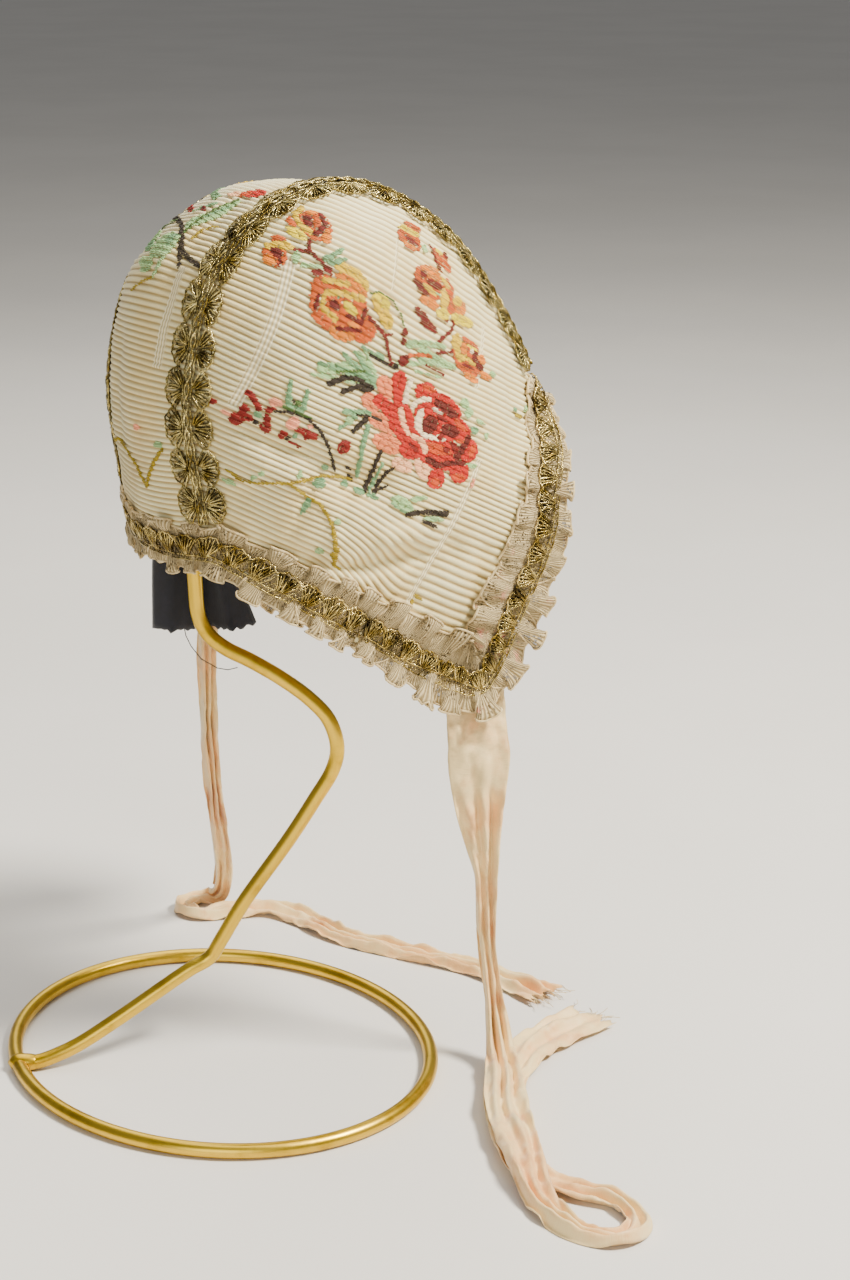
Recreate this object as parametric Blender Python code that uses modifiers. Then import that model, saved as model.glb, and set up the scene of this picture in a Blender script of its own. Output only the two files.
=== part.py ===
"""Baby bonnet with galloon braid, gathered lace edge and ribbon ties, on a wire stand.

Metres, +Z up, the face opening looks along -Y, the wearer's right side is at -X.
The middle of the box that holds the whole part stands on the origin.
"""
import bpy
import math
from mathutils import Vector
from mathutils.bvhtree import BVHTree

MM = 0.001

# Cloth of the hood
WALL = 1.5 * MM
SEAM_GAP = 0.8 * MM
HALF_WIDTH = 56.0 * MM
SWELL_REACH = 46.0 * MM
SWELL_POWER = 2.4
NECK_TUCK = 10.0 * MM
NECK_TUCK_TOP = 205.0 * MM
NECK_TUCK_DEPTH = 70.0 * MM
FRONT_TUCK = 5.0 * MM
CROWN_LEAN = 0.14
NAPE_DIP = 5.5 * MM
NAPE_DIP_REACH = 0.14
LEAN_START = 240.0 * MM
LEAN_FULL = 282.0 * MM

# Trimmings
CLEAR = 0.55 * MM
NEAR = 0.5 * MM
SEAM_LIFT = 1.1 * MM
LACE_WALL = 1.0 * MM
BRAID_WALL = 1.0 * MM
EDGE_BRAID_HALF = 4.0 * MM
EDGE_BRAID_MIDDLE = 3.0 * MM
EDGE_BRAID_CELLS = 66
SEAM_BRAID_CELLS = 18
SEAM_BRAID_END = 10.6 * MM
LACE_WAVES = 46
LACE_RISE_OUT = 3.0 * MM

# Ribbons, stand, pad
RIBBON_WIDTH = 21.0 * MM
RIBBON_WALL = 1.0 * MM
PLEAT_LIMIT = 40.0
WIRE = 5.0 * MM
RING_LONG = 77.5 * MM
RING_SHORT = 66.6 * MM
RING_TURN = 47.07
RING_MIDDLE = (0.4 * MM, -4.0 * MM)
PAD_HALF = (25.0 * MM, 33.0 * MM, 20.0 * MM)
PAD_MIDDLE = (0.0, -37.0 * MM, 266.0 * MM)
PAD_FLAT = 0.55
PAD_CLOTH_WALL = 1.0 * MM
PAD_CLOTH_ASIDE = -2.5 * MM

# Plan directions of the stand: the rod is bent in the first one, the second is square to it
ACROSS = (-0.469, -0.883)
AWAY = (0.883, -0.469)

# How far the trimmings look along the edge and inward for an even direction
EDGE_STEP = 8.0 * MM
EDGE_SMOOTH = 17.0 * MM

# Seam between crown panel and side panel, from nape to brow:
# (name, back, up, half width, swell of the crown panel)
SEAM_ROWS = (
    ("nape", 12.0, 186.0, 33.5, 8.0),
    ("back_low", 14.5, 203.0, 33.0, 10.0),
    ("back", 17.5, 228.0, 31.5, 10.5),
    ("back_high", 15.5, 245.0, 30.5, 10.8),
    ("back_crown", 8.0, 267.0, 30.0, 11.5),
    ("crown", -16.0, 288.0, 30.0, 6.0),
    ("top", -40.0, 290.5, 30.0, 0.6),
    ("fore", -69.0, 275.5, 30.0, 0.6),
    ("forehead", -91.0, 250.0, 30.0, 0.6),
    ("brow", -105.0, 223.5, 30.0, 0.6),
)

# Free edge of a side panel, from brow round the corner to nape: (name, back, up)
EDGE_ROWS = (
    ("brow", -105.0, 223.5),
    ("temple", -105.6, 211.0),
    ("cheek", -101.5, 195.5),
    ("jaw_high", -97.5, 178.0),
    ("jaw", -89.0, 157.8),
    ("corner_front", -82.4, 141.6),
    ("corner", -75.0, 132.2),
    ("corner_neck", -62.0, 136.4),
    ("throat", -33.0, 156.0),
    ("neck", -7.0, 173.0),
    ("nape", 12.0, 186.0),
)

# Dents and folds of a side panel: (name, back, up, back end, up end, reach, depth)
SIDE_DENTS = (
    ("crease_low", -50.0, 168.0, -62.0, 182.0, 4.0, 1.2),
    ("pucker_nape", -2.0, 190.0, -16.0, 184.0, 4.0, 1.2),
    ("fold_berry", -6.0, 218.0, -34.0, 206.0, 7.0, 1.6),
    ("fold_front", -90.0, 232.0, -96.0, 196.0, 6.0, 1.2),
)

# Folds of the crown panel: (name, across, along start, along end, reach, depth)
CROWN_FOLDS = (
    ("fold_back", 0.15, 0.10, 0.30, 0.16, 1.4),
    ("crease_crown", -0.55, 0.28, 0.48, 0.14, 1.2),
    ("fold_far", 0.62, 0.05, 0.26, 0.16, 1.0),
)

# Reach of the lace inside the edge braid: (name, share of the edge from brow to nape, reach)
LACE_INNER = (
    ("brow", 0.00, 9.2),
    ("temple", 0.10, 9.4),
    ("cheek", 0.25, 11.0),
    ("jaw", 0.40, 13.0),
    ("corner", 0.52, 12.5),
    ("throat", 0.66, 13.5),
    ("neck", 0.84, 11.5),
    ("nape", 1.00, 9.2),
)

# Centre line of the rod from the solder joint up into the hood: (name, side, back, up)
ROD_ROWS = (
    ("joint", 16.4, 68.6, 3.0),
    ("stub", 13.4, 62.0, 3.0),
    ("stub_end", 11.9, 54.4, 4.9),
    ("rise", 10.6, 47.6, 7.6),
    ("rise_middle", 7.8, 33.9, 15.4),
    ("rise_high", 2.9, 9.8, 30.1),
    ("bend_low", 1.4, 3.0, 33.6),
    ("bend", -0.3, -0.6, 40.0),
    ("lean", -4.0, -7.5, 53.7),
    ("lean_middle", -11.4, -21.5, 76.8),
    ("lean_high", -15.6, -29.4, 91.2),
    ("knee_low", -18.6, -35.0, 102.4),
    ("knee", -19.3, -36.3, 110.0),
    ("knee_high", -18.0, -34.0, 119.5),
    ("back_turn", -15.3, -28.8, 126.5),
    ("back_run", -11.2, -21.0, 133.5),
    ("back_low", -6.1, -11.6, 140.1),
    ("nape_turn", -2.2, -4.1, 144.6),
    ("nape_round", 0.4, 0.7, 149.4),
    ("nape_rise", 1.7, 3.1, 155.2),
    ("nape_up", 2.1, 3.9, 165.0),
    ("hidden_low", 1.6, 3.0, 205.0),
    ("hidden_bend", 0.8, -8.0, 226.0),
    ("hidden_high", 0.0, -30.0, 237.0),
    ("pad_foot", 0.0, -37.0, 246.0),
    ("pad_end", 0.0, -37.0, 254.7),
)

# Right tie, from the hood corner down, along the floor, round its fold and back to the torn
# end: (name, side, back, up, plan angle of the width, pleat angle); angle None lies across the path
RIGHT_TIE = (
    ("sewn", -43.6, -74.0, 146.0, 90.0, 0.0),
    ("hem", -43.5, -75.0, 128.0, 88.0, 3.0),
    ("hang_top", -47.0, -74.6, 110.0, 74.0, 6.0),
    ("hang_fold", -48.0, -74.2, 96.0, 68.0, 34.0),
    ("hang", -48.6, -75.0, 82.0, 64.0, 52.0),
    ("hang_mid", -49.4, -76.5, 67.0, 62.0, 69.0),
    ("hang_low", -49.5, -76.8, 42.0, 60.0, 73.0),
    ("hang_foot", -52.2, -78.7, 21.0, 60.0, 72.0),
    ("landing", -58.5, -77.2, 8.6, None, 64.0),
    ("floor_a", -72.0, -70.5, 6.6, None, 56.0),
    ("floor_b", -88.0, -62.5, 6.5, None, 48.0),
    ("floor_c", -107.0, -54.5, 6.5, None, 50.0),
    ("floor_d", -129.1, -46.9, 6.2, None, 58.0),
    ("strand_low", -146.0, -42.5, 3.6, None, 64.0),
    ("strand_turn", -162.5, -44.6, 1.9, None, 68.0),
    ("strand_tip", -171.5, -53.5, 1.8, None, 68.0),
    ("strand_back", -167.0, -63.5, 1.8, None, 68.0),
    ("strand_high", -154.0, -64.5, 1.8, None, 66.0),
    ("strand_join", -142.0, -56.5, 2.0, None, 60.0),
    ("under_a", -125.0, -49.5, 2.2, None, 52.0),
    ("under_b", -107.0, -54.5, 2.2, None, 48.0),
    ("under_c", -88.0, -62.5, 2.2, None, 48.0),
    ("loop", -71.0, -73.0, 2.2, None, 50.0),
    ("tail", -57.5, -88.0, 2.2, None, 44.0),
    ("tail_out", -50.5, -102.0, 2.2, None, 34.0),
    ("tail_end", -44.6, -122.0, 2.2, None, 30.0),
)

# Left tie, from the hidden corner, back inside the hood, over its edge and down
LEFT_TIE = (
    ("sewn", 40.6, -70.0, 148.0, 90.0, 20.0),
    ("tucked", 40.4, -52.0, 164.0, 60.0, 50.0),
    ("tucked_high", 41.4, -36.0, 175.0, 50.0, 66.0),
    ("over", 42.0, -26.0, 171.0, 60.0, 72.0),
    ("out", 43.0, -21.5, 158.6, 60.0, 73.0),
    ("hang_top", 46.0, -17.9, 132.0, 75.0, 72.0),
    ("hang", 56.0, -21.9, 98.5, 80.0, 74.0),
    ("hang_mid", 68.0, -27.4, 70.6, 85.0, 73.0),
    ("hang_low", 84.0, -36.5, 42.5, 85.0, 74.0),
    ("landing", 104.0, -46.0, 15.6, 60.0, 70.0),
    ("floor_a", 113.5, -46.5, 3.6, 30.0, 68.0),
    ("fold_out", 117.0, -39.5, 1.8, None, 68.0),
    ("fold_tip", 112.0, -32.5, 1.8, None, 68.0),
    ("fold_back", 104.6, -34.0, 1.8, None, 68.0),
    ("floor_b", 101.2, -45.1, 1.9, None, 60.0),
    ("floor_c", 95.0, -62.0, 2.0, None, 56.0),
    ("floor_d", 82.3, -68.5, 1.9, None, 60.0),
    ("floor_e", 59.1, -74.4, 1.8, None, 66.0),
    ("floor_f", 36.5, -88.3, 1.8, None, 68.0),
    ("floor_g", 8.7, -107.1, 1.9, None, 62.0),
    ("torn_end", -20.9, -116.5, 2.2, None, 48.0),
)

# Cloth hanging from the pad behind the rod: (name, up, away from the rod, reach left, reach right)
PAD_CLOTH = (
    ("top", 258.8, 13.5, 10.0, 8.0),
    ("high", 226.0, 13.0, 12.0, 9.0),
    ("middle", 200.0, 11.0, 14.5, 9.0),
    ("low", 172.0, 8.5, 16.5, 10.5),
    ("hem", 149.0, 6.5, 17.0, 17.0),
)

# Reach of the lace beyond the edge: (name, share of the edge from brow to nape, reach)
LACE_OUTER = (
    ("brow", 0.00, 3.2),
    ("temple", 0.12, 4.0),
    ("cheek", 0.28, 8.6),
    ("jaw", 0.42, 9.0),
    ("corner", 0.54, 8.6),
    ("throat", 0.66, 6.4),
    ("neck", 0.86, 6.0),
    ("nape", 1.00, 8.5),
)


def clear_scene():
    """Take every object out of the file."""
    for item in list(bpy.data.objects):
        bpy.data.objects.remove(item, do_unlink=True)


def ease(value):
    """Smooth step from 0 to 1."""
    value = min(max(value, 0.0), 1.0)
    return value * value * (3.0 - 2.0 * value)


def curve_through(points, count):
    """Evenly spaced points on a smooth curve through the given points."""
    knots = [Vector(p) if len(p) == 3 else p for p in points]
    last = len(knots) - 1
    steps = [0.0]
    for here, there in zip(knots, knots[1:]):
        steps.append(steps[-1] + math.sqrt((there - here).length))
    fine = []
    for piece in range(last):
        p1 = knots[piece]
        p2 = knots[piece + 1]
        p0 = knots[piece - 1] if piece > 0 else p1 * 2.0 - p2
        p3 = knots[piece + 2] if piece + 2 <= last else p2 * 2.0 - p1
        t1 = steps[piece]
        t2 = steps[piece + 1]
        t0 = steps[piece - 1] if piece > 0 else t1 - (t2 - t1)
        t3 = steps[piece + 2] if piece + 2 <= last else t2 + (t2 - t1)
        for part in range(16):
            t = t1 + (t2 - t1) * part / 16.0
            a1 = p0 * ((t1 - t) / (t1 - t0)) + p1 * ((t - t0) / (t1 - t0))
            a2 = p1 * ((t2 - t) / (t2 - t1)) + p2 * ((t - t1) / (t2 - t1))
            a3 = p2 * ((t3 - t) / (t3 - t2)) + p3 * ((t - t2) / (t3 - t2))
            b1 = a1 * ((t2 - t) / (t2 - t0)) + a2 * ((t - t0) / (t2 - t0))
            b2 = a2 * ((t3 - t) / (t3 - t1)) + a3 * ((t - t1) / (t3 - t1))
            fine.append((piece + part / 16.0, b1 * ((t2 - t) / (t2 - t1)) + b2 * ((t - t1) / (t2 - t1))))
    fine.append((float(last), knots[last]))
    run = [0.0]
    for here, there in zip(fine, fine[1:]):
        run.append(run[-1] + (there[1] - here[1]).length)
    out = []
    spot = 0
    for index in range(count):
        want = run[-1] * index / (count - 1)
        while spot < len(run) - 2 and run[spot + 1] < want:
            spot += 1
        share = (want - run[spot]) / max(run[spot + 1] - run[spot], 1e-12)
        where = fine[spot][0] * (1.0 - share) + fine[spot + 1][0] * share
        out.append((fine[spot][1].lerp(fine[spot + 1][1], share), where, want))
    return out


def between(values, where):
    """Value of a list at a fractional row number."""
    low = min(int(where), len(values) - 2)
    share = where - low
    return values[low] * (1.0 - share) + values[low + 1] * share


SEAM_FINE = curve_through([(0.0, row[1] * MM, row[2] * MM) for row in SEAM_ROWS], 161)
EDGE_FINE = curve_through([(0.0, row[1] * MM, row[2] * MM) for row in EDGE_ROWS], 161)
SEAM_LENGTH = SEAM_FINE[-1][2]
EDGE_LENGTH = EDGE_FINE[-1][2]
SIDE_MIDDLE = Vector((0.0, -45.0 * MM, 213.0 * MM))


def seam_at(share):
    """Point, half width, swell and outward direction of the seam at a share of its length."""
    spot = min(max(share, 0.0), 1.0) * 160.0
    low = min(int(spot), 159)
    part = spot - low
    point = SEAM_FINE[low][0].lerp(SEAM_FINE[low + 1][0], part)
    where = SEAM_FINE[low][1] * (1.0 - part) + SEAM_FINE[low + 1][1] * part
    half = between([row[3] * MM for row in SEAM_ROWS], where)
    swell = between([row[4] * MM for row in SEAM_ROWS], where)
    before = SEAM_FINE[max(low - 3, 0)][0]
    after = SEAM_FINE[min(low + 4, 160)][0]
    along = (after - before).normalized()
    out = Vector((0.0, along.z, -along.y))
    if out.dot(point - SIDE_MIDDLE) < 0.0:
        out.negate()
    return point, half, swell, out


def edge_at(share):
    """Point and inward direction of the free edge at a share of its length, brow to nape."""
    spot = min(max(share, 0.0), 1.0) * 160.0
    low = min(int(spot), 159)
    part = spot - low
    point = EDGE_FINE[low][0].lerp(EDGE_FINE[low + 1][0], part)
    before = EDGE_FINE[max(low - 3, 0)][0]
    after = EDGE_FINE[min(low + 4, 160)][0]
    along = (after - before).normalized()
    inward = Vector((0.0, along.z, -along.y))
    if inward.dot(point - SIDE_MIDDLE) > 0.0:
        inward.negate()
    return point, inward


def lean(point):
    """Let the crown slope down to the left as it sits on the pad."""
    amount = ease((point.z - LEAN_START) / (LEAN_FULL - LEAN_START))
    return Vector((point.x, point.y, point.z - CROWN_LEAN * point.x * amount))


def side_point(flat, sign):
    """Point of a side panel over a point of the side outline."""
    best = 1.0
    half = 30.0 * MM
    for index in range(160):
        a = SEAM_FINE[index][0]
        b = SEAM_FINE[index + 1][0]
        run = b - a
        part = min(max((flat - a).dot(run) / run.length_squared, 0.0), 1.0)
        gap = (flat - a - run * part).length
        if gap < best:
            best = gap
            where = SEAM_FINE[index][1] * (1.0 - part) + SEAM_FINE[index + 1][1] * part
            half = between([row[3] * MM for row in SEAM_ROWS], where)
    dome = 1.0 - (1.0 - min(best / SWELL_REACH, 1.0)) ** SWELL_POWER
    tuck = ease((NECK_TUCK_TOP - flat.z) / NECK_TUCK_DEPTH)
    front = ease((-50.0 * MM - flat.y) / (50.0 * MM))
    wide = half + (HALF_WIDTH - half) * dome
    wide -= NECK_TUCK * tuck + FRONT_TUCK * front * dome * (1.0 - tuck)
    for name, back, up, back_end, up_end, reach, depth in SIDE_DENTS:
        a = Vector((0.0, back * MM, up * MM))
        run = Vector((0.0, back_end * MM, up_end * MM)) - a
        part = min(max((flat - a).dot(run) / run.length_squared, 0.0), 1.0)
        gap = (flat - a - run * part).length / (reach * MM)
        wide -= depth * MM * math.exp(-gap * gap)
    return lean(Vector((sign * wide, flat.y, flat.z)))


def crown_point(share, across):
    """Point of the crown panel; across runs from -1 at the right seam to 1 at the left seam."""
    point, half, swell, out = seam_at(share)
    lift = swell * (1.0 - across * across)
    for name, middle, start, end, reach, depth in CROWN_FOLDS:
        gap = (across - middle) / reach
        fade = ease((share - start) / 0.05) * ease((end - share) / 0.05)
        lift -= depth * MM * math.exp(-gap * gap) * fade
    dip = NAPE_DIP * (1.0 - across ** 4) * (1.0 - ease(share / NAPE_DIP_REACH))
    return lean(Vector((across * half, point.y + out.y * lift, point.z + out.z * lift - dip)))


def plan_point(across, away, up):
    """Point given by its place across and away in the plan of the stand."""
    return Vector((ACROSS[0] * across + AWAY[0] * away, ACROSS[1] * across + AWAY[1] * away, up))


def make_mesh(name, points, faces, collection, smooth=True):
    """New mesh object from points and faces."""
    mesh = bpy.data.meshes.new(name)
    mesh.from_pydata([tuple(p) for p in points], [], faces)
    mesh.update()
    item = bpy.data.objects.new(name, mesh)
    collection.objects.link(item)
    if smooth:
        for face in mesh.polygons:
            face.use_smooth = True
    return item


def thicken(item, wall, offset=-1.0):
    """Give an open surface a wall of even thickness."""
    skin = item.modifiers.new("wall", "SOLIDIFY")
    skin.thickness = wall
    skin.offset = offset
    skin.use_even_offset = False
    return item


def colour(item, name, base, rough, metal=0.0):
    """Give an object its own material."""
    paint = bpy.data.materials.new(name)
    paint.use_nodes = True
    shader = paint.node_tree.nodes["Principled BSDF"]
    shader.inputs["Base Color"].default_value = (base[0], base[1], base[2], 1.0)
    shader.inputs["Roughness"].default_value = rough
    shader.inputs["Metallic"].default_value = metal
    item.data.materials.append(paint)


def side_grid(sign):
    """Points and faces of a side panel, in rings round its middle."""
    rim = []
    seam_count = 28
    edge_count = 27
    for index in range(seam_count):
        share = 0.003 + 0.994 * index / (seam_count - 1)
        point, half, swell, out = seam_at(share)
        rim.append(point - out * SEAM_GAP)
    for index in range(1, edge_count):
        point, inward = edge_at(index / float(edge_count))
        rim.append(point)
    rings = (1.0, 0.88, 0.66, 0.36)
    points = []
    for ring in rings:
        for spot in rim:
            points.append(side_point(SIDE_MIDDLE + (spot - SIDE_MIDDLE) * ring, sign))
    points.append(side_point(SIDE_MIDDLE.copy(), sign))
    total = len(rim)
    faces = []
    for ring in range(len(rings) - 1):
        for index in range(total):
            following = (index + 1) % total
            faces.append((ring * total + index, ring * total + following,
                          (ring + 1) * total + following, (ring + 1) * total + index))
    base = (len(rings) - 1) * total
    for index in range(total):
        faces.append((base + index, base + (index + 1) % total, len(points) - 1))
    return points, faces


def crown_grid():
    """Points and faces of the crown panel from nape to brow."""
    rows = 21
    columns = 11
    points = []
    for row in range(rows):
        share = row / float(rows - 1)
        half = seam_at(share)[1]
        for column in range(columns):
            across = (2.0 * column / (columns - 1) - 1.0) * (1.0 - SEAM_GAP / half)
            points.append(crown_point(share, across))
    faces = []
    for row in range(rows - 1):
        for column in range(columns - 1):
            a = row * columns + column
            faces.append((a, a + 1, a + columns + 1, a + columns))
    return points, faces


def point_outward(points, faces, middle):
    """Turn a whole skin of alike faces so that it looks away from the middle of the hood."""
    vote = 0.0
    for face in faces:
        corners = [points[i] for i in face]
        centre = sum(corners, Vector()) / len(corners)
        normal = (corners[1] - corners[0]).cross(corners[2] - corners[0])
        vote += normal.dot((centre - middle).normalized())
    if vote < 0.0:
        return [tuple(reversed(face)) for face in faces]
    return faces


SEAM_SPOTS = [crown_point(step / 90.0, sign) for step in range(91) for sign in (-1.0, 1.0)]


class Skin:
    """The outer face of the hood, for laying the trimmings on it."""

    def __init__(self, grids):
        points = []
        faces = []
        for grid_points, grid_faces in grids:
            base = len(points)
            points.extend(grid_points)
            faces.extend([tuple(base + i for i in face) for face in grid_faces])
        self.tree = BVHTree.FromPolygons(points, faces)

    def nearest(self, point):
        """Nearest point of the hood and the face direction there."""
        found = self.tree.find_nearest(point)
        return found[0], found[1]

    def lift(self, point):
        """Extra height over the ridge of a seam."""
        gap = min((point - spot).length for spot in SEAM_SPOTS)
        return SEAM_LIFT * math.exp(-(gap / (3.5 * MM)) ** 2)

    def direction(self, point, reach=3.0 * MM):
        """Outward direction of the hood round a point."""
        total = Vector()
        for step in ((0, 0, 0), (1, 0, 0), (-1, 0, 0), (0, 1, 0), (0, -1, 0), (0, 0, 1), (0, 0, -1)):
            total += self.nearest(point + Vector(step) * reach)[1]
        return total.normalized()


def lift_clear(points, faces, skin, need, rounds=5):
    """Lift the corners of faces that come nearer to a skin than they may."""
    for turn in range(rounds):
        wanted = {}
        for face in faces:
            corners = [points[i] for i in face]
            size = len(corners)
            spots = [sum(corners, Vector()) / size]
            for index in range(size):
                spots.append(corners[index])
                spots.append((corners[index] + corners[(index + 1) % size]) / 2.0)
                spots.append((corners[index] + spots[0]) / 2.0)
            for spot in spots:
                found, out = skin.nearest(spot)
                away = spot - found
                short = need - away.dot(out)
                if away.length < 4.0 * MM and short > 0.0:
                    for i in face:
                        wanted[i] = max(wanted.get(i, 0.0), short)
        for i, amount in wanted.items():
            points[i] = points[i] + skin.direction(points[i]) * (amount + 0.02 * MM)


def edge_loop(count):
    """Even stations round the whole free edge, from the brow down the right side and round."""
    fine = []
    for index in range(120):
        share = index / 120.0
        point, inward = edge_at(share)
        fine.append((side_point(point, -1.0), side_point(point + inward * EDGE_STEP, -1.0), share))
    for index in range(24):
        across = 2.0 * index / 24.0 - 1.0
        fine.append((crown_point(0.0, across), crown_point(EDGE_STEP / SEAM_LENGTH, across), 1.0))
    for index in range(120):
        share = 1.0 - index / 120.0
        point, inward = edge_at(share)
        fine.append((side_point(point, 1.0), side_point(point + inward * EDGE_STEP, 1.0), share))
    for index in range(24):
        across = 1.0 - 2.0 * index / 24.0
        fine.append((crown_point(1.0, across), crown_point(1.0 - EDGE_STEP / SEAM_LENGTH, across), 0.0))
    total = len(fine)
    run = [0.0]
    for index in range(total):
        run.append(run[-1] + (fine[(index + 1) % total][0] - fine[index][0]).length)
    stations = []
    spot = 0
    for index in range(count):
        want = run[-1] * index / count
        while run[spot + 1] < want:
            spot += 1
        part = (want - run[spot]) / (run[spot + 1] - run[spot])
        a = fine[spot]
        b = fine[(spot + 1) % total]
        edge = a[0].lerp(b[0], part)
        inner = a[1].lerp(b[1], part)
        share = a[2] * (1.0 - part) + b[2] * part
        stations.append([edge, (inner - edge).normalized(), share])
    window = max(int(count * EDGE_SMOOTH / run[-1]), 1)
    smooth = []
    for index in range(count):
        total_in = Vector()
        for step in range(-window, window + 1):
            total_in += stations[(index + step) % count][1]
        smooth.append(total_in.normalized())
    for index in range(count):
        stations[index][1] = smooth[index]
    return stations, run[-1]


def laid(skin, station, inside, height):
    """Point over the hood at a distance inside its edge and a height over its cloth."""
    edge, inward, share = station
    found, face_out = skin.nearest(edge + inward * max(inside, 0.0))
    out = skin.direction(found)
    height += skin.lift(found)
    if inside >= 0.0:
        return found + out * height
    return edge + inward * inside + out * height


def grid_faces(rows, columns, closed):
    """Faces of a grid of points, closed into a ring when asked."""
    faces = []
    for row in range(rows if closed else rows - 1):
        here = row * columns
        there = ((row + 1) % rows) * columns
        for column in range(columns - 1):
            faces.append((here + column, here + column + 1, there + column + 1, there + column))
    return faces


def reach_at(rows, share):
    """Reach named in a short table at a share of the edge."""
    for first, second in zip(rows, rows[1:]):
        if share <= second[1]:
            part = (share - first[1]) / (second[1] - first[1])
            return (first[2] * (1.0 - part) + second[2] * part) * MM
    return rows[-1][2] * MM


def lace_grid(skin):
    """Gathered lace round the edge: flat under the braid, waved on both sides of it."""
    count = LACE_WAVES * 3
    stations, length = edge_loop(count)
    points = []
    for index, station in enumerate(stations):
        share = station[2]
        reach = reach_at(LACE_INNER, share)
        outer = reach_at(LACE_OUTER, share)
        wave = (0.0, 1.0, 0.45)[index % 3]
        other = (0.5, 1.0, 0.0)[index % 3]
        band = EDGE_BRAID_MIDDLE + EDGE_BRAID_HALF + 0.4 * MM
        extra = max(reach - band, 0.0)
        top = band + extra * (1.0 - 0.12 * wave)
        rise = min(0.42 * extra, 4.0 * MM)
        points.append(laid(skin, station, top, CLEAR + LACE_WALL + rise * wave))
        points.append(laid(skin, station, band, CLEAR + LACE_WALL))
        points.append(laid(skin, station, -1.4 * MM, CLEAR + LACE_WALL))
        rise = LACE_RISE_OUT * outer / (9.0 * MM)
        points.append(laid(skin, station, -outer, CLEAR + LACE_WALL * 0.6 + rise * other))
    return points, grid_faces(count, 4, True)


def edge_braid_grid(skin):
    """Pierced braid laid over the lace all round the edge."""
    stations, length = edge_loop(EDGE_BRAID_CELLS * 8)
    height = CLEAR + LACE_WALL + CLEAR + BRAID_WALL + 0.15 * MM
    wide = EDGE_BRAID_HALF
    middle = EDGE_BRAID_MIDDLE
    points = []
    faces = []
    total = EDGE_BRAID_CELLS
    for cell in range(total):
        start = cell * 8
        for step, offset in ((0, -0.78), (0, 0.78), (4, -1.0), (4, 1.0), (2, 0.0), (6, 0.0),
                             (4, -0.46), (4, 0.46)):
            points.append(laid(skin, stations[start + step], middle + offset * wide, height))
    for cell in range(total):
        a = cell * 8
        b = ((cell + 1) % total) * 8
        faces.append((a, a + 2, a + 6, a + 4))
        faces.append((a + 2, b, a + 5, a + 6))
        faces.append((b, b + 1, a + 5))
        faces.append((b + 1, a + 3, a + 7, a + 5))
        faces.append((a + 3, a + 1, a + 4, a + 7))
        faces.append((a + 1, a, a + 4))
    return points, faces


def seam_braid_grid(skin, sign):
    """Pierced braid along a seam, wide at the nape and narrow over the crown."""
    first = SEAM_BRAID_END / SEAM_LENGTH
    last = 1.0 - first

    def spot(place, across, lift=0.0):
        share = first + (last - first) * place / SEAM_BRAID_CELLS
        point, half, swell, out = seam_at(share)
        wide = (4.9 + 2.6 * ease((0.42 - share) / 0.30)) * MM
        offset = across * wide
        if offset > 0.0:
            where = crown_point(share, sign * (1.0 - offset / half))
        else:
            where = side_point(point - out * (-offset / 1.55), sign)
        found, face_out = skin.nearest(where)
        if across == 0.0:
            found = where
        return found + skin.direction(found) * (CLEAR + BRAID_WALL)

    points = []
    faces = []
    for cell in range(SEAM_BRAID_CELLS):
        for step, across in ((0.0, -0.74), (0.0, 0.0), (0.0, 0.74), (0.5, -1.0), (0.5, 1.0),
                             (0.24, 0.0), (0.76, 0.0), (0.5, -0.5), (0.5, 0.5)):
            points.append(spot(cell + step, across))
    for across in (-0.74, 0.0, 0.74):
        points.append(spot(float(SEAM_BRAID_CELLS), across))
    for cell in range(SEAM_BRAID_CELLS):
        a = cell * 9
        b = a + 9
        faces.append((a, a + 3, a + 7, a + 5))
        faces.append((a, a + 5, a + 1))
        faces.append((a + 3, b, a + 6, a + 7))
        faces.append((b, b + 1, a + 6))
        faces.append((b + 1, b + 2, a + 6))
        faces.append((b + 2, a + 4, a + 8, a + 6))
        faces.append((a + 4, a + 2, a + 5, a + 8))
        faces.append((a + 2, a + 1, a + 5))
    return points, faces


def ribbon_grid(rows, stations):
    """Points and faces of a tie ribbon, pleated lengthways where its row says so."""
    path = curve_through([(row[1] * MM, row[2] * MM, row[3] * MM) for row in rows], stations)
    points = []
    side_before = None
    for index, (point, where, run) in enumerate(path):
        ahead = path[min(index + 1, stations - 1)][0] - path[max(index - 1, 0)][0]
        along = ahead.normalized()
        low = min(int(where), len(rows) - 2)
        part = where - low
        sides = []
        for row in (rows[low], rows[low + 1]):
            if row[4] is None:
                flat = Vector((along.y, -along.x, 0.0)).normalized()
            else:
                flat = Vector((math.cos(math.radians(row[4])), math.sin(math.radians(row[4])), 0.0))
            if side_before is not None and flat.dot(side_before) < 0.0:
                flat.negate()
            if sides and flat.dot(sides[0]) < 0.0:
                flat.negate()
            sides.append(flat)
        side = sides[0].lerp(sides[1], part)
        side = (side - along * side.dot(along)).normalized()
        side_before = side
        up = along.cross(side).normalized()
        pleat = math.radians(rows[low][5] * (1.0 - part) + rows[low + 1][5] * part)
        chord = RIBBON_WIDTH * math.cos(pleat)
        rise = chord / 8.0 * math.tan(min(pleat, math.radians(PLEAT_LIMIT)))
        for column in range(5):
            lift = rise if column % 2 else -rise
            points.append(point + side * ((column - 2) * chord / 4.0) + up * lift)
    return points, grid_faces(stations, 5, False)


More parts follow.
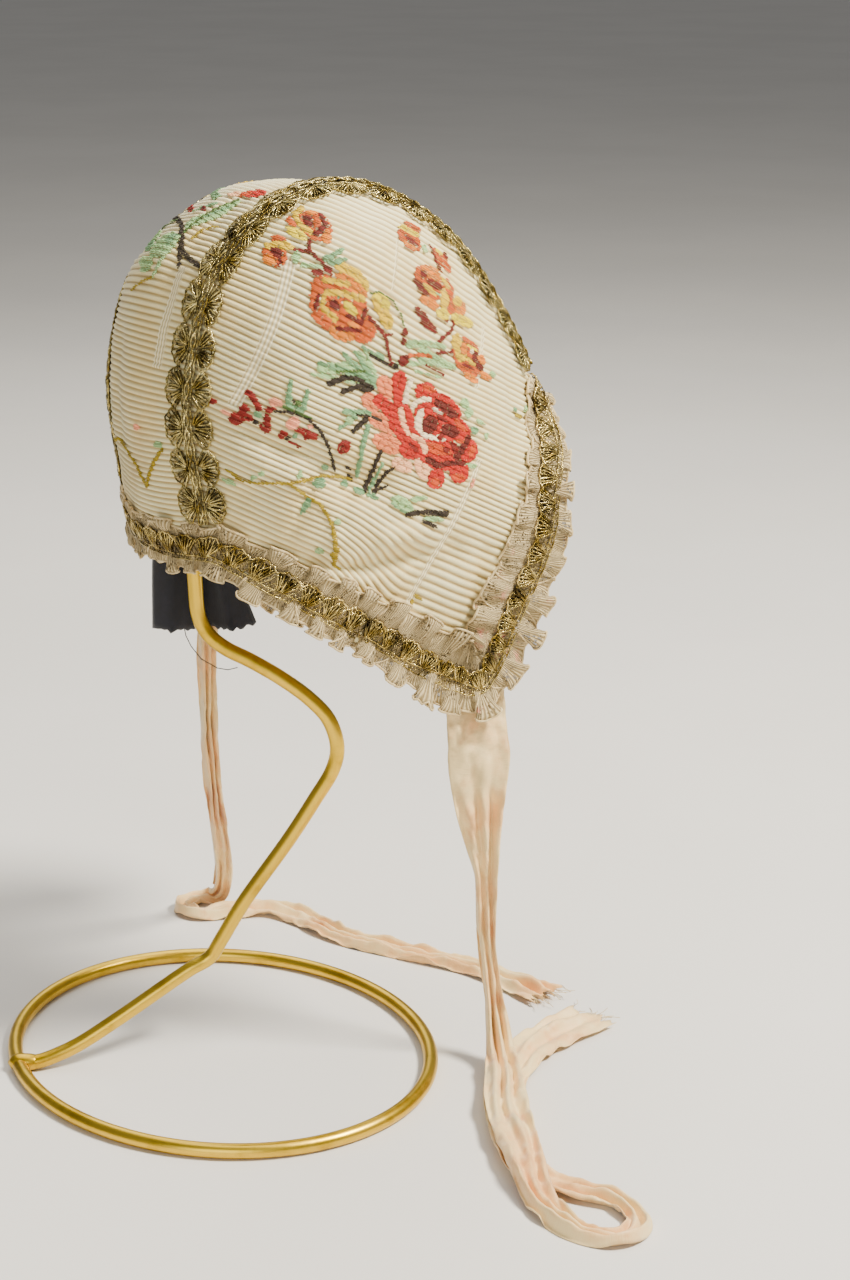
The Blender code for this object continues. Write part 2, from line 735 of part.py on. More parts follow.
def pad_cloth_grid():
    """Points and faces of the cloth hanging from the pad, in soft folds behind the rod."""
    rows = 8
    columns = 7
    path = curve_through([(row[3] * MM, row[4] * MM, row[1] * MM) for row in PAD_CLOTH], rows)
    points = []
    for row in range(rows):
        spot, where, run = path[row]
        down = row / (rows - 1.0)
        away = between([line[2] * MM for line in PAD_CLOTH], where)
        for column in range(columns):
            across = 2.0 * column / (columns - 1) - 1.0
            right = across * (spot.y if across > 0.0 else spot.x) + PAD_CLOTH_ASIDE
            back = away + (1.6 + 1.0 * down) * MM * math.cos(across * 5.0)
            points.append(plan_point(right, back, spot.z))
    return points, grid_faces(rows, columns, False)


def tube(name, points, width, closed, tilt, collection, sides=8):
    """Round wire along points, as a curve with a bevel."""
    data = bpy.data.curves.new(name, "CURVE")
    data.dimensions = "3D"
    data.bevel_depth = width / 2.0
    data.bevel_resolution = sides // 2 - 2
    data.use_fill_caps = True
    data.twist_mode = "Z_UP" if closed else "MINIMUM"
    line = data.splines.new("POLY")
    line.points.add(len(points) - 1)
    for index, point in enumerate(points):
        line.points[index].co = (point[0], point[1], point[2], 1.0)
        line.points[index].tilt = math.radians(tilt)
    line.use_cyclic_u = closed
    line.use_smooth = True
    item = bpy.data.objects.new(name, data)
    collection.objects.link(item)
    return item


def as_mesh(item):
    """Turn a curve object into a mesh object."""
    bpy.ops.object.select_all(action="DESELECT")
    item.select_set(True)
    bpy.context.view_layer.objects.active = item
    bpy.ops.object.convert(target="MESH")
    return bpy.context.view_layer.objects.active


def make_stand(collection, helpers):
    """Oval ring of wire on the floor with the bent rod soldered to it."""
    count = 36
    flat_half = WIRE / 2.0 * math.cos(math.radians(22.5))
    middle = plan_point(RING_MIDDLE[0], RING_MIDDLE[1], 0.0)
    slant = math.radians(RING_TURN)
    long_way = plan_point(math.cos(slant), -math.sin(slant), 0.0)
    short_way = Vector((-long_way.y, long_way.x, 0.0))
    loop = []
    for index in range(count):
        turn = 2.0 * math.pi * index / count
        spot = middle + long_way * (RING_LONG * math.cos(turn)) + short_way * (RING_SHORT * math.sin(turn))
        loop.append((spot.x, spot.y, flat_half))
    ring = as_mesh(tube("wire_stand", loop, WIRE, True, 22.5, collection))
    path = curve_through([(row[1] * MM, row[2] * MM, row[3] * MM) for row in ROD_ROWS], 38)
    rod = as_mesh(tube("rod_operand", [p[0] for p in path], WIRE, False, 0.0, helpers))
    rod.hide_render = True
    rod.display_type = "WIRE"
    join = ring.modifiers.new("solder", "BOOLEAN")
    join.operation = "UNION"
    join.solver = "EXACT"
    join.object = rod
    return ring


def make_pad(collection):
    """Padded dome that carries the crown."""
    bpy.ops.mesh.primitive_uv_sphere_add(segments=16, ring_count=9, radius=1.0)
    pad = bpy.context.view_layer.objects.active
    pad.name = "head_pad"
    pad.data.name = "head_pad"
    for vertex in pad.data.vertices:
        x, y, z = vertex.co
        if z < 0.0:
            z = z * PAD_FLAT
        vertex.co = (x * PAD_HALF[0] + PAD_MIDDLE[0], y * PAD_HALF[1] + PAD_MIDDLE[1],
                     z * PAD_HALF[2] + PAD_MIDDLE[2] - CROWN_LEAN * x * PAD_HALF[0])
    for face in pad.data.polygons:
        face.use_smooth = True
    for owner in list(pad.users_collection):
        owner.objects.unlink(pad)
    collection.objects.link(pad)
    return pad


def main():
    clear_scene()
    scene = bpy.context.scene
    bonnet = bpy.data.collections.new("baby bonnet")
    helpers = bpy.data.collections.new("cutters")
    scene.collection.children.link(bonnet)
    scene.collection.children.link(helpers)
    middle = Vector((0.0, -45.0 * MM, 225.0 * MM))

    right_points, right_faces = side_grid(-1.0)
    left_points, left_faces = side_grid(1.0)
    crown_points, crown_faces = crown_grid()
    right_faces = point_outward(right_points, right_faces, middle)
    left_faces = point_outward(left_points, left_faces, middle)
    crown_faces = point_outward(crown_points, crown_faces, middle)
    skin = Skin(((right_points, right_faces), (left_points, left_faces), (crown_points, crown_faces)))

    silk = (0.80, 0.74, 0.62)
    gold = (0.42, 0.36, 0.20)
    peach = (0.82, 0.66, 0.54)
    items = []
    item = thicken(make_mesh("crown_panel", crown_points, crown_faces, bonnet), WALL)
    colour(item, "crown_silk", silk, 0.6)
    items.append(item)
    item = thicken(make_mesh("side_panel_right", right_points, right_faces, bonnet), WALL)
    colour(item, "right_silk", silk, 0.6)
    items.append(item)
    item = thicken(make_mesh("side_panel_left", left_points, left_faces, bonnet), WALL)
    colour(item, "left_silk", silk, 0.6)
    items.append(item)

    points, faces = lace_grid(skin)
    lift_clear(points, faces, skin, LACE_WALL + NEAR)
    lace_skin = Skin(((points, point_outward(points, faces, middle)),))
    item = thicken(make_mesh("lace_edging", points, point_outward(points, faces, middle), bonnet), LACE_WALL)
    colour(item, "lace", (0.78, 0.72, 0.60), 0.8)
    items.append(item)

    points, faces = edge_braid_grid(skin)
    lift_clear(points, faces, lace_skin, BRAID_WALL + NEAR)
    item = thicken(make_mesh("edge_braid", points, point_outward(points, faces, middle), bonnet), BRAID_WALL)
    colour(item, "edge_gold", gold, 0.45, 0.8)
    items.append(item)

    for name, sign in (("seam_braid_right", -1.0), ("seam_braid_left", 1.0)):
        points, faces = seam_braid_grid(skin, sign)
        lift_clear(points, faces, skin, BRAID_WALL + NEAR)
        item = thicken(make_mesh(name, points, point_outward(points, faces, middle), bonnet), BRAID_WALL)
        colour(item, name + "_gold", gold, 0.45, 0.8)
        items.append(item)

    for name, rows, count in (("tie_ribbon_right", RIGHT_TIE, 44), ("tie_ribbon_left", LEFT_TIE, 40)):
        points, faces = ribbon_grid(rows, count)
        item = thicken(make_mesh(name, points, faces, bonnet), RIBBON_WALL, 0.0)
        colour(item, name + "_silk", peach, 0.55)
        items.append(item)

    item = make_stand(bonnet, helpers)
    colour(item, "brass", (0.72, 0.55, 0.26), 0.3, 1.0)
    items.append(item)
    item = make_pad(bonnet)
    colour(item, "pad_black", (0.03, 0.03, 0.035), 0.9)
    items.append(item)
    points, faces = pad_cloth_grid()
    item = thicken(make_mesh("pad_cloth", points, faces, bonnet), PAD_CLOTH_WALL, 0.0)
    colour(item, "cloth_black", (0.03, 0.03, 0.035), 0.9)
    items.append(item)

    centre_on_origin(items, helpers)


def centre_on_origin(items, helpers):
    """Move everything so that the middle of the box at floor height is the origin."""
    bpy.context.view_layer.update()
    shapes = bpy.context.evaluated_depsgraph_get()
    lows = [1e9, 1e9, 1e9]
    highs = [-1e9, -1e9, -1e9]
    for item in items:
        mesh = item.evaluated_get(shapes).to_mesh()
        for vertex in mesh.vertices:
            for axis in range(3):
                lows[axis] = min(lows[axis], vertex.co[axis])
                highs[axis] = max(highs[axis], vertex.co[axis])
    shift = Vector((-(lows[0] + highs[0]) / 2.0, -(lows[1] + highs[1]) / 2.0, -lows[2]))
    for item in list(items) + list(helpers.objects):
        for vertex in item.data.vertices:
            vertex.co += shift
    print("shift", [round(c * 1000.0, 3) for c in shift])
    print("size", [round((highs[i] - lows[i]) * 1000.0, 2) for i in range(3)])


main()
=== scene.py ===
"""Looks of the baby bonnet on its wire stand: ribbed silk, woven flowers, metal galloon, lace and ties."""
import math
import random

import bpy
import numpy as np
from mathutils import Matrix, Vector, noise
from mathutils.bvhtree import BVHTree


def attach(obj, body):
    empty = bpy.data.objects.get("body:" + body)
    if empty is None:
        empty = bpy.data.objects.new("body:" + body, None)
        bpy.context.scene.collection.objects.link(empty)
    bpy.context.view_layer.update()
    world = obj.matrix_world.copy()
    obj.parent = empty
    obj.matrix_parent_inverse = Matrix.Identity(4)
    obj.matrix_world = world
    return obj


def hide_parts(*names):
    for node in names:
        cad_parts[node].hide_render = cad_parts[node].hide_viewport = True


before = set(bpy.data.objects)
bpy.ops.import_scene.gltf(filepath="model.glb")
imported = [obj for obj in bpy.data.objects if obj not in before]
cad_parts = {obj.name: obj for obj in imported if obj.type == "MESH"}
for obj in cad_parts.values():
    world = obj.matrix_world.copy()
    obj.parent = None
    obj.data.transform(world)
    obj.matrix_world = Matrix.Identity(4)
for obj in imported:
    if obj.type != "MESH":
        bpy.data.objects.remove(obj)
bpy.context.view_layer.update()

bl_info = {
    "name": "Baby bonnet on a wire stand",
    "version": (1, 0, 0),
    "blender": (4, 5, 0),
    "location": "View3D > Sidebar > Bonnet",
    "description": "Builds the silk panels, flowers, galloon, lace, ties and stand of a baby bonnet",
    "category": "Object",
}

MM = 0.001

# Points of a profile's fine line, and fine parts from one row of a table to the next
PROFILE_POINTS = 161
SPLINE_PARTS = 16

# From the hood's own measuring frame to the frame of the whole part
SHIFT = np.array((27.208, 26.67, 0.0)) * MM

# Shape of the hood, as its solids have it
SEAM_GAP = 0.1 * MM
HALF_WIDTH = 56.0 * MM
SWELL_REACH = 46.0 * MM
SWELL_POWER = 2.4
NECK_TUCK = 10.0 * MM
NECK_TUCK_TOP = 205.0 * MM
NECK_TUCK_DEPTH = 70.0 * MM
FRONT_TUCK = 5.0 * MM
CROWN_LEAN = 0.14
NAPE_DIP = 1.2 * MM
NAPE_DIP_REACH = 0.14
LEAN_START = 240.0 * MM
LEAN_FULL = 282.0 * MM
EDGE_STEP = 8.0 * MM
EDGE_SMOOTH = 17.0 * MM
FRONT_TUCK_START = -50.0 * MM
FRONT_TUCK_REACH = 50.0 * MM
DOME_START = 30.0 * MM
PANEL_WALL = 1.1 * MM
SIDES = ((-1.0, "right"), (1.0, "left"))

# Ribs of the silk. A side panel's chart counts millimetres along and across its ribs; below its top the
# ribs are drawn apart towards the front corner.
RIB_PITCH = 1.74
RIB_SAMPLES = 4
RIB_HEIGHT = 0.68 * MM
RIB_TURN = math.radians(27.0)
CHART_START = (100.0, 200.0)
STRETCH = 0.34
STRETCH_TOP = 20.0
STRETCH_EASE = (12.0, 14.0)
STRETCH_ALONG = (26.0, 36.0)

# Flat woven stripes between the ribs: (start along, end along, low, high)
STRIPES = (
    (-14.6, -11.6, 5.0, 48.0), (65.3, 67.9, -31.0, 20.0), (56.0, 57.4, 40.0, 58.0), (16.2, 17.0, 52.0, 66.0),
)
CROWN_STRIPES = ((-20.6, -17.4, 56.0, 83.0), (18.0, 20.4, 20.0, 70.0))

# How far round a place its outward direction is read, and how the trimmings ride over the seams
LOOK_ROUND = 3.0 * MM
RIDGE_LIFT = 1.1 * MM
RIDGE_REACH = 3.5 * MM

# Points of the edge's loop down one side and across one end of the crown panel
EDGE_PARTS = 120
END_PARTS = 24

# Braid: repeats, rows of its band to a repeat, and where the seam's braid starts
EDGE_REPEATS = 66
EDGE_ROWS_EACH = 8
SEAM_REPEATS = 18
SEAM_ROWS_EACH = 14
SEAM_START = 10.6 * MM
SIDE_SLOPE = 1.55
EDGE_OFFSETS = (-12.0, -6.0, -3.0, -1.0, 0.0, 1.5, 3.0, 5.0, 7.0, 9.0, 12.0, 16.0, 20.0, 24.0)
SEAM_OFFSETS = (-9.0, -7.0, -5.0, -3.0, -1.0, 0.0, 1.0, 3.0, 5.0, 7.0, 9.0)
# Near-black tint of the wire laid under each shell: painted shade in the braid's depths
UNDER_SHADE_TINT = (0.07, 0.05, 0.025)

# One pass of the metal thread from a shell's root to its rim: (share of the reach, height)
SHELL_PASS = ((0.22, 0.0), (0.55, 0.4), (0.85, 0.45), (1.0, 0.1))

# Point paper of the woven flowers and the shape of one float, at shares of its length
PAPER_ALONG = 0.25
PAPER_OVER = 0.435
SHORTEST_FLOAT = 0.5
FLOAT_SHARES = np.array((0.0, 0.1, 0.5, 0.9, 1.0))
FLOAT_RISE = np.array((0.0, 0.75, 1.0, 0.75, 0.0)) * 0.20 * MM
FLOAT_TAPER = np.array((0.3, 1.0, 1.0, 1.0, 0.3)) * MM
FLOAT_WIDE = 0.26
FLOAT_THICK = 0.18
FLOAT_SINK = 0.14 * MM

# Lace: rows of the full mesh, shares of the reach of each frill, and what lies under the braid
LACE_ROWS = 1280
LACE_PARTS = (0.1, 0.25, 0.4, 0.55, 0.7, 0.86, 1.0)
LACE_UNDER = (1.6, 3.2, 4.8)

# Ties, the wire of the stand, and directions: to the right in the picture, square to the rod, and upwards
TIE_WIDTH = 21.0 * MM
TIE_COLUMNS = 27
FLOOR_GAP = 0.35 * MM
WIRE_RADIUS = 2.5 * MM
PICTURE_RIGHT = np.array((-0.4695, -0.8829, 0.0))
ROD_SIDE = np.array((0.883, -0.469, 0.0))
UP = (0.0, 0.0, 1.0)

# Seam between crown panel and side panel, from nape to brow:
# (name, back, up, half width, swell of the crown panel)
SEAM_ROWS = (
    ("nape", 12.0, 186.0, 33.5, 8.0),
    ("back_low", 14.5, 203.0, 33.0, 10.0),
    ("back", 17.5, 228.0, 31.5, 10.5),
    ("back_high", 15.5, 245.0, 30.5, 10.8),
    ("back_crown", 8.0, 267.0, 30.0, 11.5),
    ("crown", -16.0, 288.0, 30.0, 6.0),
    ("top", -40.0, 290.5, 30.0, 0.6),
    ("fore", -69.0, 275.5, 30.0, 0.6),
    ("forehead", -91.0, 250.0, 30.0, 0.6),
    ("brow", -105.0, 223.5, 30.0, 0.6),
)

# Free edge of a side panel, from brow round the corner to nape: (name, back, up)
EDGE_ROWS = (
    ("brow", -105.0, 223.5),
    ("temple", -105.6, 211.0),
    ("cheek", -101.5, 195.5),
    ("jaw_high", -97.5, 178.0),
    ("jaw", -89.0, 157.8),
    ("corner_front", -82.4, 141.6),
    ("corner", -75.0, 132.2),
    ("corner_neck", -62.0, 136.4),
    ("throat", -33.0, 156.0),
    ("neck", -7.0, 173.0),
    ("nape", 12.0, 186.0),
)

# Dents and folds of a side panel: (name, back, up, back end, up end, reach, depth)
SIDE_DENTS = (
    ("crease_low", -50.0, 168.0, -62.0, 182.0, 5.0, 2.2),
    ("pucker_nape", -2.0, 190.0, -16.0, 184.0, 4.0, 1.9),
    ("fold_berry", -6.0, 218.0, -34.0, 206.0, 6.0, 2.2),
    ("fold_front", -90.0, 232.0, -96.0, 196.0, 6.0, 1.6),
)

# Folds of the crown panel: (name, across, along start, along end, reach, depth)
CROWN_FOLDS = (
    ("fold_back", 0.15, 0.10, 0.30, 0.16, 1.4),
    ("crease_crown", -0.55, 0.28, 0.48, 0.14, 1.2),
    ("fold_far", 0.62, 0.05, 0.26, 0.16, 1.0),
)

# Fine puckers of the silk, charted along and across its ribs:
# (name, along, across, along end, across end, reach, depth)
PUCKERS = (
    ("by_nape_braid", 2.0, -18.0, 12.0, -25.0, 2.6, 1.5),
    ("over_neck", 16.0, -8.0, 19.0, -24.0, 1.8, 1.2),
    ("neck_gather", 30.0, -20.0, 34.0, -30.0, 2.2, -1.0),
    ("corner_valley", 43.0, -25.5, 60.0, -15.0, 3.0, 2.4),
    ("corner_ridge", 46.0, -14.0, 56.0, -8.0, 3.8, -1.8),
    ("corner_fold", 36.0, -28.0, 47.0, -25.0, 2.0, 1.4),
    ("stripe_tuck", 62.0, -28.0, 63.0, -12.0, 2.2, 1.1),
    ("under_berries", -8.0, -1.5, 12.0, 0.5, 1.6, 1.3),
    ("berry_puff", -4.0, -8.0, 8.0, -6.0, 5.0, -1.7),
    ("cheek_tuck", 84.0, -6.0, 90.0, -22.0, 3.0, 1.4),
    ("brow_tuck", 76.0, 44.0, 84.0, 20.0, 3.4, 1.2),
    ("stem_tuck", 26.0, 2.0, 30.0, -14.0, 2.4, 0.9),
)

# Reach of the lace inside and beyond the edge: (share of the edge from brow to nape, reach)
LACE_INNER = ((0.00, 9.2), (0.08, 11.5), (0.22, 16.5), (0.40, 19.5),
              (0.52, 18.5), (0.66, 16.0), (0.84, 13.0), (1.00, 10.5))
LACE_OUTER = ((0.00, 3.0), (0.12, 4.0), (0.28, 8.0), (0.42, 8.6),
              (0.54, 8.2), (0.66, 6.4), (0.86, 5.4), (1.00, 5.0))

# Centre line of the rod from the solder joint up into the hood: (name, side, back, up)
ROD_ROWS = (
    ("joint", 16.4, 68.6, 3.0),
    ("stub", 13.4, 62.0, 3.0),
    ("stub_end", 11.9, 54.4, 4.9),
    ("rise", 10.6, 47.6, 7.6),
    ("rise_middle", 7.8, 33.9, 15.4),
    ("rise_high", 2.9, 9.8, 30.1),
    ("bend_low", 1.4, 3.0, 33.6),
    ("bend", -0.3, -0.6, 40.0),
    ("lean", -4.0, -7.5, 53.7),
    ("lean_middle", -11.4, -21.5, 76.8),
    ("lean_high", -15.6, -29.4, 91.2),
    ("knee_low", -18.6, -35.0, 102.4),
    ("knee", -19.3, -36.3, 110.0),
    ("knee_high", -18.0, -34.0, 119.5),
    ("back_turn", -15.3, -28.8, 126.5),
    ("back_run", -11.2, -21.0, 133.5),
    ("back_low", -6.1, -11.6, 140.1),
    ("nape_turn", -2.2, -4.1, 144.6),
    ("nape_round", 0.4, 0.7, 149.4),
    ("nape_rise", 1.7, 3.1, 155.2),
    ("nape_up", 2.1, 3.9, 165.0),
    ("hidden_low", 1.6, 3.0, 205.0),
    ("hidden_bend", 0.8, -8.0, 226.0),
    ("hidden_high", 0.0, -30.0, 237.0),
    ("pad_foot", 0.0, -37.0, 246.0),
    ("pad_end", 0.0, -37.0, 254.7),
)

# Ties: (name, side, back, up, plan angle of the width, pleat angle); angle None lies across the path
RIGHT_TIE = (
    ("sewn", -43.6, -74.0, 146.0, 90.0, 0.0),
    ("hem", -43.5, -75.0, 128.0, 88.0, 3.0),
    ("hang_top", -47.0, -74.6, 110.0, 74.0, 6.0),
    ("hang_fold", -48.0, -74.2, 96.0, 68.0, 34.0),
    ("hang", -48.6, -75.0, 82.0, 64.0, 52.0),
    ("hang_mid", -49.4, -76.5, 67.0, 62.0, 69.0),
    ("hang_low", -49.5, -76.8, 42.0, 60.0, 73.0),
    ("hang_foot", -52.2, -78.7, 21.0, 60.0, 72.0),
    ("landing", -58.5, -77.2, 8.6, None, 64.0),
    ("floor_a", -72.0, -70.5, 6.6, None, 56.0),
    ("floor_b", -88.0, -62.5, 6.5, None, 48.0),
    ("floor_c", -107.0, -54.5, 6.5, None, 50.0),
    ("floor_d", -129.1, -46.9, 6.2, None, 58.0),
    ("strand_low", -146.0, -42.5, 3.6, None, 64.0),
    ("strand_turn", -162.5, -44.6, 1.9, None, 68.0),
    ("strand_tip", -171.5, -53.5, 1.8, None, 68.0),
    ("strand_back", -167.0, -63.5, 1.8, None, 68.0),
    ("strand_high", -154.0, -64.5, 1.8, None, 66.0),
    ("strand_join", -142.0, -56.5, 2.0, None, 60.0),
    ("under_a", -125.0, -49.5, 2.2, None, 52.0),
    ("under_b", -107.0, -54.5, 2.2, None, 48.0),
    ("under_c", -88.0, -62.5, 2.2, None, 48.0),
    ("loop", -71.0, -73.0, 2.2, None, 50.0),
    ("tail", -57.5, -88.0, 2.2, None, 44.0),
    ("tail_out", -50.5, -102.0, 2.2, None, 34.0),
    ("tail_end", -44.6, -122.0, 2.2, None, 30.0),
)
LEFT_TIE = (
    ("sewn", 40.6, -70.0, 148.0, 90.0, 20.0),
    ("tucked", 40.4, -52.0, 164.0, 60.0, 50.0),
    ("tucked_high", 41.4, -36.0, 175.0, 50.0, 66.0),
    ("over", 42.0, -26.0, 171.0, 60.0, 72.0),
    ("out", 43.0, -21.5, 158.6, 60.0, 73.0),
    ("hang_top", 46.0, -17.9, 132.0, 75.0, 72.0),
    ("hang", 56.0, -21.9, 98.5, 80.0, 74.0),
    ("hang_mid", 68.0, -27.4, 70.6, 85.0, 73.0),
    ("hang_low", 84.0, -36.5, 42.5, 85.0, 74.0),
    ("landing", 104.0, -46.0, 15.6, 60.0, 70.0),
    ("floor_a", 113.5, -46.5, 3.6, 30.0, 68.0),
    ("fold_out", 117.0, -39.5, 1.8, None, 68.0),
    ("fold_tip", 112.0, -32.5, 1.8, None, 68.0),
    ("fold_back", 104.6, -34.0, 1.8, None, 68.0),
    ("floor_b", 101.2, -45.1, 1.9, None, 60.0),
    ("floor_c", 95.0, -62.0, 2.0, None, 56.0),
    ("floor_d", 82.3, -68.5, 1.9, None, 60.0),
    ("floor_e", 59.1, -74.4, 1.8, None, 66.0),
    ("floor_f", 36.5, -88.3, 1.8, None, 68.0),
    ("floor_g", 8.7, -107.1, 1.9, None, 62.0),
    ("torn_end", -20.9, -116.5, 2.2, None, 48.0),
)

# Cloth hanging from the pad behind the rod: (name, up, away from the rod, reach left, reach right)
PAD_CLOTH = (
    ("top", 258.8, 13.5, 10.0, 8.0),
    ("high", 226.0, 13.0, 12.0, 9.0),
    ("middle", 200.0, 11.0, 14.5, 9.0),
    ("low", 172.0, 8.5, 16.5, 10.5),
    ("hem", 149.0, 6.5, 17.0, 17.0),
)
ACROSS = (-0.469, -0.883)
AWAY = (0.883, -0.469)

# Loose thread at the cloth's hem: (to the right, up)
THREAD_DROOP = (
    (0.0, 1.0), (0.6, -2.6), (2.2, -6.2), (5.4, -10.6), (10.7, -13.8), (14.2, -14.4), (17.4, -13.6),
)

# The pad's dome: half sizes from side to side, from front to back and upwards, and its place back and up
PAD_HALF = (25.0 * MM, 33.0 * MM, 20.0 * MM)
PAD_PLACE = (-37.0 * MM, 266.0 * MM)

# Lights: (name, place, size, power, tone), all turned to one place
LAMPS = (
    ("key", (-0.62, -0.62, 1.25), 0.34, 52.0, (1.0, 0.965, 0.90)),
    ("fill", (-1.0, 0.9, 0.5), 0.9, 7.0, (0.97, 0.98, 1.0)),
    ("back", (0.9, -0.2, 0.9), 0.8, 4.0, (1.0, 0.98, 0.96)),
    ("above", (0.25, -0.15, 1.3), 1.1, 9.0, (1.0, 0.98, 0.95)),
)
LIT_PLACE = Vector((0.0, 0.0, 0.17))

# Silk dyes, as red, green and blue from 0 to 255
DYES = {
    "coral": (166, 52, 22), "flame": (180, 82, 40), "deep": (108, 12, 8), "wine": (84, 12, 10),
    "salmon": (214, 138, 108), "blush": (244, 190, 158), "cream": (248, 226, 198),
    "orange": (176, 92, 44), "peach": (204, 130, 72), "yellow": (208, 180, 0), "lemon": (220, 202, 0),
    "maroon": (92, 22, 14), "sage": (128, 156, 122), "mist": (166, 190, 146), "moss": (80, 100, 62),
    "bark": (30, 22, 16), "crimson": (116, 8, 18), "rose": (222, 160, 136), "olive": (150, 132, 4),
}

